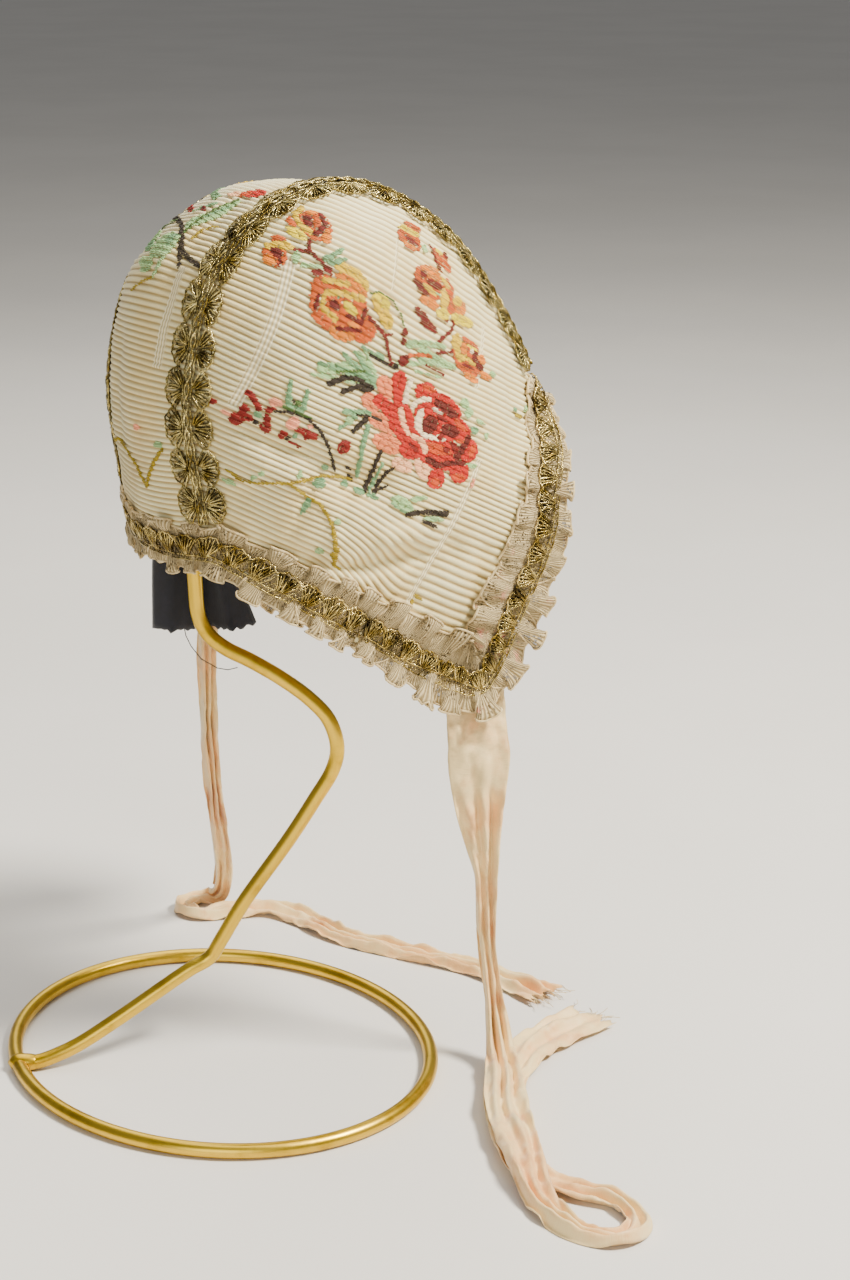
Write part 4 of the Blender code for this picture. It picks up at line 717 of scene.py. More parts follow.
def crown_surface(share, across):
    """Smooth face of the crown panel; across runs from -1 at the right seam to 1 at the left."""
    share, across = np.broadcast_arrays(np.asarray(share, dtype=float), np.asarray(across, dtype=float))
    point = along_table(share, SEAM_FINE)
    half = along_table(share, SEAM_HALF)
    out = unit(along_table(share, SEAM_OUT))
    lift = along_table(share, SEAM_SWELL) * (1.0 - across * across)
    for name, middle, start, end, reach, depth in CROWN_FOLDS:
        gap = (across - middle) / reach
        fade = ease((share - start) / 0.05) * ease((end - share) / 0.05)
        lift = lift - depth * MM * np.exp(-gap * gap) * fade
    dip = NAPE_DIP * (1.0 - across ** 4) * (1.0 - ease(share / NAPE_DIP_REACH))
    flat = point + out * lift[..., None]
    return lean(np.stack((across * half, flat[..., 0], flat[..., 1] - dip), axis=-1))


def plan_point(across, away, up):
    """Point given by its place across and away in the plan of the stand."""
    return np.array((ACROSS[0] * across + AWAY[0] * away, ACROSS[1] * across + AWAY[1] * away, up))


def grid_normals(points, closed=False):
    """Normals of a grid of points, turned away from the middle of the hood."""
    if closed:
        wrapped = np.concatenate((points[-1:], points, points[:1]))
        down = wrapped[2:] - wrapped[:-2]
    else:
        down = np.gradient(points, axis=0)
    normal = unit(np.cross(down, np.gradient(points, axis=1)))
    if np.sum(normal * (points - HOOD_MIDDLE)) < 0.0:
        normal = -normal
    return normal


def crumple(points, size, seed):
    """Soft uneven values, about -1 to 1, at a size in metres, one for each point."""
    flat = points.reshape(-1, 3) / size + seed
    values = np.array([noise.noise(Vector(spot)) for spot in flat])
    return values.reshape(points.shape[:-1])


def silk_swell(points):
    """Soft unevenness of the silk over its padding, in metres."""
    return (crumple(points, 0.0135, 3.0) * 0.5 + crumple(points, 0.0055, 9.0) * 0.2) * MM


def deselect():
    """Clear the selection before an object operator."""
    bpy.ops.object.select_all(action="DESELECT")


def take(item):
    """Select one object alone and make it active."""
    deselect()
    item.select_set(True)
    bpy.context.view_layer.objects.active = item


def shade_smooth(item):
    """Smooth shading for an object."""
    take(item)
    bpy.ops.object.shade_smooth()


def edit_all(item, step, **settings):
    """Run one edit mode operator on the whole of an object."""
    take(item)
    bpy.ops.object.mode_set(mode="EDIT")
    bpy.ops.mesh.select_all(action="SELECT")
    step(**settings)
    bpy.ops.object.mode_set(mode="OBJECT")


def grid_object(name, points, plan, closed=False):
    """Grid primitive shaped to rows and columns of points, with its UV map in millimetres."""
    rows, columns = points.shape[:2]
    if closed:
        points = np.concatenate((points, points[:1]))
        plan = np.concatenate((plan, plan[:1] + (plan[1:2] - plan[:1]) * rows))
        rows += 1
    deselect()
    bpy.ops.mesh.primitive_grid_add(x_subdivisions=columns - 1, y_subdivisions=rows - 1, size=1.0)
    item = bpy.context.view_layer.objects.active
    item.name = name
    mesh = item.data
    mesh.name = name
    mesh.vertices.foreach_set("co", (points.reshape(-1, 3) + SHIFT).astype(np.float32).ravel())
    corner = np.empty(len(mesh.loops), dtype=np.int32)
    mesh.loops.foreach_get("vertex_index", corner)
    mesh.uv_layers[0].data.foreach_set("uv", plan.reshape(-1, 2)[corner].astype(np.float32).ravel())
    mesh.update()
    if closed:
        edit_all(item, bpy.ops.mesh.remove_doubles, threshold=1e-6)
    shade_smooth(item)
    return item


def give_values(item, name, values):
    """Store one value for each vertex."""
    layer = item.data.attributes.new(name, "FLOAT", "POINT")
    layer.data.foreach_set("value", np.asarray(values, dtype=np.float32).ravel())


def give_colours(item, colours):
    """Store one linear colour for each vertex."""
    layer = item.data.color_attributes.new("tint", "FLOAT_COLOR", "POINT")
    full = np.concatenate((colours, np.ones((len(colours), 1))), axis=1)
    layer.data.foreach_set("color", full.astype(np.float32).ravel())


def link_object(name, data):
    """New object in the scene."""
    item = bpy.data.objects.new(name, data)
    bpy.context.scene.collection.objects.link(item)
    return item


def solids_object(name, points, faces, tints, paint):
    """Object of many small closed solids, with a tint for each point and its faces turned outwards."""
    mesh = bpy.data.meshes.new(name)
    mesh.from_pydata((points + SHIFT).tolist(), [], faces)
    mesh.update()
    item = link_object(name, mesh)
    give_colours(item, tints)
    mesh.materials.append(paint)
    edit_all(item, bpy.ops.mesh.normals_make_consistent, inside=False)
    shade_smooth(item)
    return item


def thicken(item, wall, offset, inside=0):
    """Give an open sheet its wall; the inner face and rim take the slot given by inside."""
    skin = item.modifiers.new("wall", "SOLIDIFY")
    skin.thickness = wall
    skin.offset = offset
    skin.use_even_offset = False
    skin.material_offset = inside
    take(item)
    bpy.ops.object.modifier_apply(modifier=skin.name)


class Bundle:
    """Collects many small closed solids into one mesh."""

    def __init__(self):
        self.points = []
        self.faces = []
        self.tints = []
        self.total = 0

    def tube(self, path, normals, radius, sides, tint=(1.0, 1.0, 1.0), closed=False):
        """Round wire along a path; the normals hold its cross-section still."""
        count = len(path)
        radius = np.broadcast_to(np.asarray(radius, dtype=float), (count,))
        if closed:
            along = unit(np.roll(path, -1, axis=0) - np.roll(path, 1, axis=0))
        else:
            along = unit(np.gradient(path, axis=0))
        side = unit(np.cross(along, normals))
        up = np.cross(side, along)
        turn = 2.0 * math.pi * (np.arange(sides) + 0.5) / sides
        rings = path[:, None] + radius[:, None, None] * (
            np.cos(turn)[None, :, None] * side[:, None] + np.sin(turn)[None, :, None] * up[:, None])
        base = self.total
        self.points.append(rings.reshape(-1, 3))
        shades = np.broadcast_to(np.asarray(tint, dtype=float), (count, 3))
        self.tints.append(np.repeat(shades, sides, axis=0))
        self.total += count * sides
        for row in range(count if closed else count - 1):
            here = base + row * sides
            there = base + ((row + 1) % count) * sides
            for spot in range(sides):
                after = (spot + 1) % sides
                self.faces.append((here + spot, here + after, there + after, there + spot))
        if not closed:
            self.faces.append(tuple(base + spot for spot in reversed(range(sides))))
            self.faces.append(tuple(base + (count - 1) * sides + spot for spot in range(sides)))

    def finish(self, name, paint):
        """Make the object."""
        tints = np.concatenate(self.tints)
        return solids_object(name, np.concatenate(self.points), self.faces, tints, paint)


def node(tree, kind, values=None, **settings):
    """Add a shader node with its settings and socket values."""
    made = tree.nodes.new(kind)
    for key, value in settings.items():
        setattr(made, key, value)
    for key, value in (values or {}).items():
        made.inputs[key].default_value = value
    return made


def rgba(rgb):
    """Linear colour with full opacity, from screen values 0 to 255."""
    return tuple(float(part) for part in vivid(rgb)) + (1.0,)


def new_material(name):
    """Material with only its output and shader; gives the material, its tree and the shader."""
    paint = bpy.data.materials.new(name)
    paint.use_nodes = True
    tree = paint.node_tree
    tree.nodes.clear()
    output = tree.nodes.new("ShaderNodeOutputMaterial")
    shader = tree.nodes.new("ShaderNodeBsdfPrincipled")
    tree.links.new(shader.outputs["BSDF"], output.inputs["Surface"])
    return paint, tree, shader


def cloud_mask():
    """Node group: uneven mask, for stains, tarnish and faded places."""
    group = bpy.data.node_groups.get("Cloud mask")
    if group:
        return group
    group = bpy.data.node_groups.new("Cloud mask", "ShaderNodeTree")
    group.interface.new_socket("Vector", in_out="INPUT", socket_type="NodeSocketVector")
    for name in ("Scale", "Low", "High"):
        group.interface.new_socket(name, in_out="INPUT", socket_type="NodeSocketFloat")
    group.interface.new_socket("Mask", in_out="OUTPUT", socket_type="NodeSocketFloat")
    start = group.nodes.new("NodeGroupInput")
    end = group.nodes.new("NodeGroupOutput")
    large = node(group, "ShaderNodeTexNoise", {"Detail": 5.0, "Roughness": 0.62})
    ramp = node(group, "ShaderNodeMapRange", interpolation_type="SMOOTHSTEP")
    for output, socket in ((start.outputs["Vector"], large.inputs["Vector"]),
                           (start.outputs["Scale"], large.inputs["Scale"]),
                           (large.outputs["Fac"], ramp.inputs["Value"]),
                           (start.outputs["Low"], ramp.inputs["From Min"]),
                           (start.outputs["High"], ramp.inputs["From Max"]),
                           (ramp.outputs["Result"], end.inputs["Mask"])):
        group.links.new(output, socket)
    return group


def clouds(tree, source, scale, low, high):
    """Mask output of the cloud group."""
    made = node(tree, "ShaderNodeGroup", node_tree=cloud_mask())
    for name, value in (("Scale", scale), ("Low", low), ("High", high)):
        made.inputs[name].default_value = value
    tree.links.new(source, made.inputs["Vector"])
    return made.outputs["Mask"]


def mixed(tree, share, first, second, kind="MIX"):
    """Mix of two colours, each a socket or screen values."""
    mix = node(tree, "ShaderNodeMix", data_type="RGBA", blend_type=kind)
    for socket, value in ((mix.inputs[6], first), (mix.inputs[7], second)):
        if isinstance(value, (tuple, list)):
            socket.default_value = rgba(value)
        else:
            tree.links.new(value, socket)
    if isinstance(share, float):
        mix.inputs[0].default_value = share
    else:
        tree.links.new(share, mix.inputs[0])
    return mix.outputs[2]


def calculate(tree, operation, *values):
    """Math node on sockets or numbers."""
    made = node(tree, "ShaderNodeMath", operation=operation)
    for socket, value in zip(made.inputs, values):
        if isinstance(value, (int, float)):
            socket.default_value = value
        else:
            tree.links.new(value, socket)
    return made.outputs[0]


def ramp(tree, value, low, high):
    """Smooth step of a socket from 0 at one value to 1 at another."""
    ends = {"From Min": low, "From Max": high}
    made = node(tree, "ShaderNodeMapRange", ends, interpolation_type="SMOOTHSTEP")
    tree.links.new(value, made.inputs["Value"])
    return made.outputs["Result"]


def grain(tree, source, scale, detail=2.0):
    """Fine noise over a place."""
    made = node(tree, "ShaderNodeTexNoise", {"Scale": scale, "Detail": detail})
    tree.links.new(source, made.inputs["Vector"])
    return made.outputs["Fac"]


def axes(tree, source):
    """The three values of a place."""
    made = node(tree, "ShaderNodeSeparateXYZ")
    tree.links.new(source, made.inputs["Vector"])
    return made.outputs


def object_place(tree):
    """Object coordinates."""
    return tree.nodes.new("ShaderNodeTexCoord").outputs["Object"]


def chart_place(tree, along, over):
    """UV coordinates in millimetres, scaled along and over."""
    uv = tree.nodes.new("ShaderNodeUVMap")
    mapping = node(tree, "ShaderNodeMapping", {"Scale": (along, over, 1.0)})
    tree.links.new(uv.outputs["UV"], mapping.inputs["Vector"])
    return mapping.outputs["Vector"]


def dress(tree, shader, colour, height, strength, distance, values):
    """Give a shader its colour, a bump with its distance in metres, and its plain values."""
    made = node(tree, "ShaderNodeBump", {"Strength": strength, "Distance": distance})
    tree.links.new(height, made.inputs["Height"])
    tree.links.new(made.outputs["Normal"], shader.inputs["Normal"])
    tree.links.new(colour, shader.inputs["Base Color"])
    for key, value in values.items():
        shader.inputs[key].default_value = value


def attribute(tree, name, output="Fac"):
    """Value or colour of a vertex attribute."""
    return node(tree, "ShaderNodeAttribute", attribute_name=name).outputs[output]


def within(tree, value, low, high):
    """Mask that is 1 where a value lies between two limits."""
    return calculate(tree, "COMPARE", value, (low + high) / 2.0, (high - low) / 2.0)


def stripe_mask(tree, stripes):
    """Mask of the flat woven stripes and of the lines in them, read off the charted coordinates."""
    chart = axes(tree, chart_place(tree, 1.0, 1.0))
    total = None
    for left, right, low, high in stripes:
        inside = calculate(tree, "MULTIPLY", within(tree, chart["X"], left, right),
                           within(tree, chart["Y"], low, high))
        total = inside if total is None else calculate(tree, "MAXIMUM", total, inside)
    wave = calculate(tree, "SINE", calculate(tree, "MULTIPLY", chart["X"], 6.3))
    return total, calculate(tree, "MULTIPLY_ADD", wave, 0.5, 0.5)


def silk_material(name, bright, stripes):
    """Cream ribbed silk: painted shade in the grooves, painted highlight on the rib backs, woven stripes,
    faint stains.
    """
    paint, tree, shader = new_material(name)
    place = object_place(tree)
    # Painted shade: the groove colours; painted highlight: the rib-back colours; the rib's height mixes
    # them.
    low = mixed(tree, clouds(tree, place, 60.0, 0.35, 0.75), (176, 152, 110), (192, 170, 128))
    high = mixed(tree, clouds(tree, place, 35.0, 0.4, 0.7), bright, (247, 229, 182))
    colour = mixed(tree, ramp(tree, attribute(tree, "rib"), 0.0, 0.95), low, high)
    stain = calculate(tree, "MULTIPLY", clouds(tree, place, 22.0, 0.56, 0.78), 0.55)
    colour = mixed(tree, stain, colour, (190, 158, 118))
    thread = grain(tree, chart_place(tree, 5.2, 0.7), 1.0)
    colour = mixed(tree, calculate(tree, "MULTIPLY", thread, 0.34), colour, (168, 144, 104))
    stripe, lines = stripe_mask(tree, stripes)
    plain = mixed(tree, lines, (188, 168, 128), (252, 240, 208))
    colour = mixed(tree, calculate(tree, "MULTIPLY", stripe, 0.85), colour, plain)
    dress(tree, shader, colour, thread, 0.5, 0.00012,
          {"Roughness": 0.52, "Sheen Weight": 0.15, "Sheen Roughness": 0.45, "Specular IOR Level": 0.3})
    return paint


def linen_material():
    """Plain linen of the inside."""
    paint, tree, shader = new_material("lining_linen")
    weave = grain(tree, object_place(tree), 900.0)
    colour = mixed(tree, weave, (214, 200, 172), (190, 174, 144))
    dress(tree, shader, colour, weave, 0.6, 0.0002, {"Roughness": 0.85})
    return paint


def flower_material():
    """Dyed silk floats; each has its own dye in the colour attribute."""
    paint, tree, shader = new_material("flower_silk")
    streak = grain(tree, object_place(tree), 1400.0)
    pale = calculate(tree, "MULTIPLY", streak, 0.07)
    colour = mixed(tree, pale, attribute(tree, "tint", "Color"), (236, 220, 196))
    dress(tree, shader, colour, streak, 0.4, 0.00015, {"Roughness": 0.6, "Specular IOR Level": 0.18})
    return paint


def metal_thread_material(name, bright, olive, dark):
    """Tarnished metal thread wound on a core, with painted highlight and painted shade laid in uneven
    patches.
    """
    paint, tree, shader = new_material(name)
    place = object_place(tree)
    # The bright tone is a painted highlight, the olive one the tarnished thread, the dark one painted shade.
    first = mixed(tree, clouds(tree, place, 260.0, 0.38, 0.62), olive, bright)
    colour = mixed(tree, clouds(tree, place, 90.0, 0.5, 0.72), first, dark)
    colour = mixed(tree, 0.8, colour, attribute(tree, "tint", "Color"), "MULTIPLY")
    height = grain(tree, place, 2600.0, 1.0)
    dress(tree, shader, colour, height, 1.0, 0.0003, {"Metallic": 0.88, "Roughness": 0.24})
    return paint


def lace_material():
    """Fine net: threads stay, the holes between them let through; holes hold painted shade, thread bands
    painted highlight.
    """
    paint, tree, shader = new_material("lace_net")
    cells = node(tree, "ShaderNodeTexVoronoi", {"Scale": 1.0, "Randomness": 0.7}, feature="DISTANCE_TO_EDGE")
    tree.links.new(chart_place(tree, 1.35, 1.0), cells.inputs["Vector"])
    looks = {"Scale": 1.0, "Distortion": 5.0, "Detail": 2.0, "Detail Scale": 1.4}
    threads = node(tree, "ShaderNodeTexWave", looks)
    tree.links.new(chart_place(tree, 0.42, 0.05), threads.inputs["Vector"])
    place = object_place(tree)
    thin = calculate(tree, "SUBTRACT", 1.0, clouds(tree, place, 170.0, 0.42, 0.56))
    hole = calculate(tree, "MULTIPLY", ramp(tree, cells.outputs["Distance"], 0.12, 0.24), thin)
    pink = calculate(tree, "MULTIPLY", clouds(tree, place, 120.0, 0.58, 0.72), attribute(tree, "pink"))
    # Light bands of the thread lines are painted highlight with painted shade between; the dark hole colour
    # is painted shade.
    strand = mixed(tree, threads.outputs["Fac"], (140, 122, 90), (208, 190, 154))
    colour = mixed(tree, pink, mixed(tree, hole, strand, (72, 60, 42)), (218, 150, 132))
    height = calculate(tree, "ADD", cells.outputs["Distance"], threads.outputs["Fac"])
    dress(tree, shader, colour, height, 0.8, 0.0004, {"Roughness": 0.8})
    alpha = calculate(tree, "SUBTRACT", 1.0, calculate(tree, "MULTIPLY", hole, 0.55))
    tree.links.new(alpha, shader.inputs["Alpha"])
    return paint


def plain_material(name, first, second, rough, scale, metal=0.0, depth=0.0002, sheen=0.0, low=0.35,
                   high=0.65):
    """Two uneven tones of one stuff with a fine bump."""
    paint, tree, shader = new_material(name)
    place = object_place(tree)
    colour = mixed(tree, clouds(tree, place, scale, low, high), first, second)
    dress(tree, shader, colour, grain(tree, place, scale * 9.0, 3.0), 0.5, depth,
          {"Roughness": rough, "Metallic": metal, "Sheen Weight": sheen})
    return paint


def ribbon_material(bright):
    """Thin worn peach silk ribbon with fine cross threads, greyer and mottled higher up where it leaves the
    hood.
    """
    paint, tree, shader = new_material("ribbon_silk")
    place = object_place(tree)
    colour = mixed(tree, clouds(tree, place, 42.0, 0.38, 0.64), bright, (240, 200, 152))
    worn = calculate(tree, "MULTIPLY", clouds(tree, place, 85.0, 0.54, 0.7), 0.6)
    colour = mixed(tree, worn, colour, (206, 154, 112))
    # Greyer in mottled patches from 75 mm up, fully by 130 mm.
    high = ramp(tree, axes(tree, place)["Z"], 0.075, 0.13)
    greyed_higher_up = calculate(tree, "MULTIPLY", high, clouds(tree, place, 120.0, 0.42, 0.66))
    colour = mixed(tree, calculate(tree, "MULTIPLY", greyed_higher_up, 0.55), colour, (150, 136, 104))
    rep = grain(tree, chart_place(tree, 0.35, 4.2), 1.0)
    colour = mixed(tree, calculate(tree, "MULTIPLY", rep, 0.34), colour, (190, 150, 108))
    dress(tree, shader, colour, rep, 0.6, 0.0002, {"Roughness": 0.46, "Sheen Weight": 0.3})
    return paint


def stripe_share(along, over, stripes):
    """Share of a flattened woven stripe at a charted place."""
    share = np.zeros(np.shape(along))
    for left, right, low, high in stripes:
        inside = ease((along - left) / 0.5) * ease((right - along) / 0.5)
        share = np.maximum(share, inside * ease((over - low) / 4.0) * ease((high - over) / 4.0))
    return share


def side_outline():
    """Closed charted outline of a side panel."""
    seam = SEAM_FINE - SEAM_OUT * SEAM_GAP
    return np.stack(to_chart(np.concatenate((seam[:-1], EDGE_FINE[:-1]))), axis=1)


def row_span(outline, over):
    """Start and end, along the ribs, of the charted row at a height across them."""
    ahead = np.roll(outline, -1, axis=0)
    crosses = (outline[:, 1] - over) * (ahead[:, 1] - over) <= 0.0
    a = outline[crosses]
    b = ahead[crosses]
    share = (over - a[:, 1]) / np.where(np.abs(b[:, 1] - a[:, 1]) < 1e-9, 1e-9, b[:, 1] - a[:, 1])
    places = a[:, 0] + np.clip(share, 0.0, 1.0) * (b[:, 0] - a[:, 0])
    return places.min(), places.max()


def side_rows(step, columns):
    """Charted grid of a side panel: rows along the ribs, ended on the outline."""
    outline = side_outline()
    outline[:, 1] = rib_count_place(outline[:, 0], outline[:, 1])
    low = outline[:, 1].min() + 0.15
    high = outline[:, 1].max() - 0.15
    rows = []
    for over in np.arange(math.ceil(low / step) * step, high, step):
        start, end = row_span(outline, over)
        along = np.linspace(start, end, columns)
        rows.append(np.stack((along, rib_true_place(along, np.full(columns, over))), axis=1))
    return np.array(rows)


def rib_wave(over):
    """Height share of a rib, 0 in the groove and 1 on its back."""
    return (0.5 - 0.5 * np.cos(2.0 * math.pi * over / RIB_PITCH)) ** 0.7


def rib_stretch(along, below):
    """How far the ribs are drawn apart at a depth below the top of the wide ones."""
    start, soft = STRETCH_EASE
    share = np.clip((below - start) / soft, 0.0, 1.0)
    widened = soft * (share ** 3 - share ** 4 / 2.0) + np.maximum(below - start - soft, 0.0)
    return STRETCH * ease((along - STRETCH_ALONG[0]) / STRETCH_ALONG[1]) * widened


def rib_count_place(along, over):
    """Place across the ribs counted in ribs of even pitch."""
    return over + rib_stretch(along, STRETCH_TOP - over)


def rib_true_place(along, place):
    """Charted height of a place counted in ribs of even pitch, found by closing in on it."""
    over = np.array(place, dtype=float)
    for turn in range(12):
        over = place - rib_stretch(along, STRETCH_TOP - over)
    return over


def base_side(sign):
    """Smooth base grid of a side panel."""
    chart = side_rows(RIB_PITCH, 48)
    return side_surface(from_chart(chart[..., 0], chart[..., 1]), sign)


def crown_grid(share, columns):
    """Smooth grid of the crown panel at shares of its seams, and its places across in metres."""
    half = along_table(share, SEAM_HALF)[:, None]
    across = np.linspace(-1.0, 1.0, columns)[None, :] * (1.0 - SEAM_GAP / half)
    return crown_surface(share[:, None], across), across * half


def quads(rows, columns):
    """Corner numbers of the faces of a grid."""
    row, column = np.meshgrid(np.arange(rows - 1), np.arange(columns - 1), indexing="ij")
    a = row * columns + column
    b = a + columns
    return np.stack((a, a + 1, b + 1, b), axis=-1).reshape(-1, 4)


class Cloth:
    """The smooth outer face of the whole hood, on which the trimmings lie."""

    def __init__(self):
        points = []
        faces = []
        total = 0
        for grid in (base_side(-1.0), base_side(1.0), crown_grid(np.linspace(0.0, 1.0, 137), 25)[0]):
            corners = quads(*grid.shape[:2])
            flat = grid.reshape(-1, 3)
            a = flat[corners[:, 0]]
            facing = np.cross(flat[corners[:, 1]] - a, flat[corners[:, 2]] - a)
            if np.sum(facing * (a - HOOD_MIDDLE)) < 0.0:
                corners = corners[:, ::-1]
            points.append(flat)
            faces.append(corners + total)
            total += len(flat)
        self.tree = BVHTree.FromPolygons(np.concatenate(points).tolist(), np.concatenate(faces).tolist())
        steps = np.linspace(0.0, 1.0, 91)
        self.ridges = np.concatenate((crown_surface(steps, -1.0), crown_surface(steps, 1.0)))

    def nearest(self, spot):
        """Nearest place of the cloth, an even outward direction and the lift over the seam there."""
        found = self.tree.find_nearest(Vector(spot))
        place = np.array(found[0])
        total = np.array(found[1])
        for axis in range(3):
            for way in (-LOOK_ROUND, LOOK_ROUND):
                aside = place.copy()
                aside[axis] += way
                total = total + np.array(self.tree.find_nearest(Vector(aside))[1])
        gap = np.linalg.norm(self.ridges - place, axis=1).min()
        lift = RIDGE_LIFT * math.exp(-((gap / RIDGE_REACH) ** 2))
        return place, total / max(np.linalg.norm(total), 1e-9), lift

    def lay(self, spots, kept=None):
        """Places and outward directions of a row of spots; kept places stay where they are."""
        places = []
        outs = []
        for index, spot in enumerate(spots):
            place, out, lift = self.nearest(spot)
            if kept is not None:
                place = kept[index]
            places.append(place + out * lift)
            outs.append(out)
        return places, outs


def edge_stations(count):
    """Even stations round the free edge from the brow: place, inward way, share and length."""
    share = np.arange(EDGE_PARTS) / EDGE_PARTS
    turn = np.arange(END_PARTS) / END_PARTS * 2.0 - 1.0
    loops = []
    for step, start in ((0.0, 0.0), (EDGE_STEP, EDGE_STEP / SEAM_LENGTH)):
        down, back = [along_table(way, EDGE_FINE) + along_table(way, EDGE_IN) * step
                      for way in (share, 1.0 - share)]
        loops.append(np.concatenate((side_surface(down, -1.0), crown_surface(start, turn),
                                     side_surface(back, 1.0), crown_surface(1.0 - start, -turn))))
    loops.append(np.concatenate((share, np.ones(END_PARTS), 1.0 - share, np.zeros(END_PARTS)))[:, None])
    run = lengths(np.concatenate((loops[0], loops[0][:1])))
    want = run[-1] * np.arange(count) / count
    outer, inner, shares = [at_lengths(want, run, np.concatenate((loop, loop[:1]))) for loop in loops]
    inward = unit(inner - outer)
    window = max(int(count * EDGE_SMOOTH / run[-1]), 1)
    total = np.zeros_like(inward)
    for step in range(-window, window + 1):
        total += np.roll(inward, step, axis=0)
    return outer, unit(total), shares[:, 0], run[-1]


class Strip:
    """A band laid on the hood: places by a row number along it, millimetres across it and a height."""

    def __init__(self, places, normals, offsets, closed):
        self.places = places
        self.normals = normals
        self.offsets = np.asarray(offsets, dtype=float)
        self.closed = closed

    def at(self, along, across, height):
        """Places and outward directions; along counts rows, across and height are in millimetres."""
        along, across, height = np.broadcast_arrays(
            np.asarray(along, dtype=float), np.asarray(across, dtype=float), np.asarray(height, dtype=float))
        rows = len(self.places)
        column = np.interp(across, self.offsets, np.arange(len(self.offsets)))
        low = np.minimum(column.astype(int), len(self.offsets) - 2)
        part = (column - low)[..., None]
        if self.closed:
            row = np.floor(along).astype(int)
            share = (along - row)[..., None]
            first = row % rows
            second = (row + 1) % rows
        else:
            spot = np.clip(along, 0.0, rows - 1.0)
            first = np.minimum(spot.astype(int), rows - 2)
            share = (spot - first)[..., None]
            second = first + 1
        out = []
        for table in (self.places, self.normals):
            near = table[first, low] * (1.0 - part) + table[first, low + 1] * part
            far = table[second, low] * (1.0 - part) + table[second, low + 1] * part
            out.append(near * (1.0 - share) + far * share)
        normal = unit(out[1])
        return out[0] + normal * (height * MM)[..., None], normal

    def wire(self, bundle, along, across, height, radius, sides, tint, closed=False):
        """Wire laid on the band, its radius in millimetres too."""
        places, normals = self.at(along, across, height)
        bundle.tube(places, normals, radius * MM, sides, tint, closed)


SHARED = {}


def cloth():
    """The hood's smooth face, made once."""
    if "cloth" not in SHARED:
        SHARED["cloth"] = Cloth()
    return SHARED["cloth"]


def edge_strip():
    """Band round the free edge; its offsets grow inward from the edge."""
    if "edge" not in SHARED:
        places, inward, share, length = edge_stations(EDGE_REPEATS * EDGE_ROWS_EACH)
        columns = []
        for offset in EDGE_OFFSETS:
            beyond = places + inward * offset * MM if offset < 0.0 else None
            columns.append(cloth().lay(places + inward * max(offset, 0.0) * MM, beyond))
        table, outs = [np.stack(parts, axis=1) for parts in zip(*columns)]
        SHARED["edge"] = (Strip(table, outs, EDGE_OFFSETS, True), share, length / MM)
    return SHARED["edge"]


def seam_strip(sign):
    """Band along a seam; its offsets are below zero on the side panel and above it on the crown."""
    start = SEAM_START / SEAM_LENGTH
    share = np.linspace(start, 1.0 - start, SEAM_REPEATS * SEAM_ROWS_EACH + 1)
    point = along_table(share, SEAM_FINE)
    out_way = unit(along_table(share, SEAM_OUT))
    half = along_table(share, SEAM_HALF)
    columns = []
    for offset in SEAM_OFFSETS:
        if offset < 0.0:
            spots = side_surface(point + out_way * offset * MM / SIDE_SLOPE, sign)
        else:
            spots = crown_surface(share, sign * (1.0 - offset * MM / half))
        columns.append(cloth().lay(spots, spots if offset == 0.0 else None))
    table, outs = [np.stack(parts, axis=1) for parts in zip(*columns)]
    return Strip(table, outs, SEAM_OFFSETS, False), share


def reach_at(rows, share):
    """Reach in a short table at shares of the edge."""
    return np.interp(share, [row[0] for row in rows], [row[1] for row in rows])


def make_outward(item):
    """Flip an open sheet whose faces look to the middle of the hood."""
    mesh = item.data
    centre = Vector(HOOD_MIDDLE + SHIFT)
    vote = sum(face.normal.dot(face.center - centre) * face.area for face in mesh.polygons)
    if vote < 0.0:
        mesh.flip_normals()


def ribbed_panel(name, points, chart, counted, stripes, paint, rib_height):
    """Silk panel with raised ribs over its padding, and linen inside."""
    normals = grid_normals(points)
    stripe = stripe_share(chart[..., 0], chart[..., 1], stripes)
    wave = rib_wave(counted) * (1.0 - 0.7 * stripe) + 0.3 * stripe
    uneven = 1.0 + 0.22 * crumple(points, 3.0 * MM, 5.0)
    points = points + normals * (wave * uneven * rib_height + silk_swell(points))[..., None]
    item = grid_object(name, points, chart)
    make_outward(item)
    # The rib height also mixes the silk's painted shade in the grooves and painted highlight on the rib
    # backs.
    give_values(item, "rib", wave)
    item.data.materials.append(paint)
    item.data.materials.append(SHARED["linen"])
    thicken(item, PANEL_WALL, -1.0, 1)
    return item


def side_panel(name, sign, rib_height):
    """Ribbed side panel."""
    chart = side_rows(RIB_PITCH / RIB_SAMPLES, 74)
    points = side_surface(from_chart(chart[..., 0], chart[..., 1]), sign)
    counted = rib_count_place(chart[..., 0], chart[..., 1])
    return ribbed_panel(name, points, chart, counted, STRIPES, SHARED["side_silk"], rib_height)


def crown_panel(name, rib_height):
    """Ribbed crown panel."""
    rows = int(SEAM_LENGTH / (RIB_PITCH / RIB_SAMPLES * MM))
    share = np.arange(rows + 1) / rows
    points, across = crown_grid(share, 42)
    chart = np.stack(np.broadcast_arrays(across / MM, (share * SEAM_LENGTH / MM)[:, None]), axis=-1)
    return ribbed_panel(name, points, chart, chart[..., 1], CROWN_STRIPES, SHARED["crown_silk"], rib_height)


DYE_NAMES = tuple(DYES)


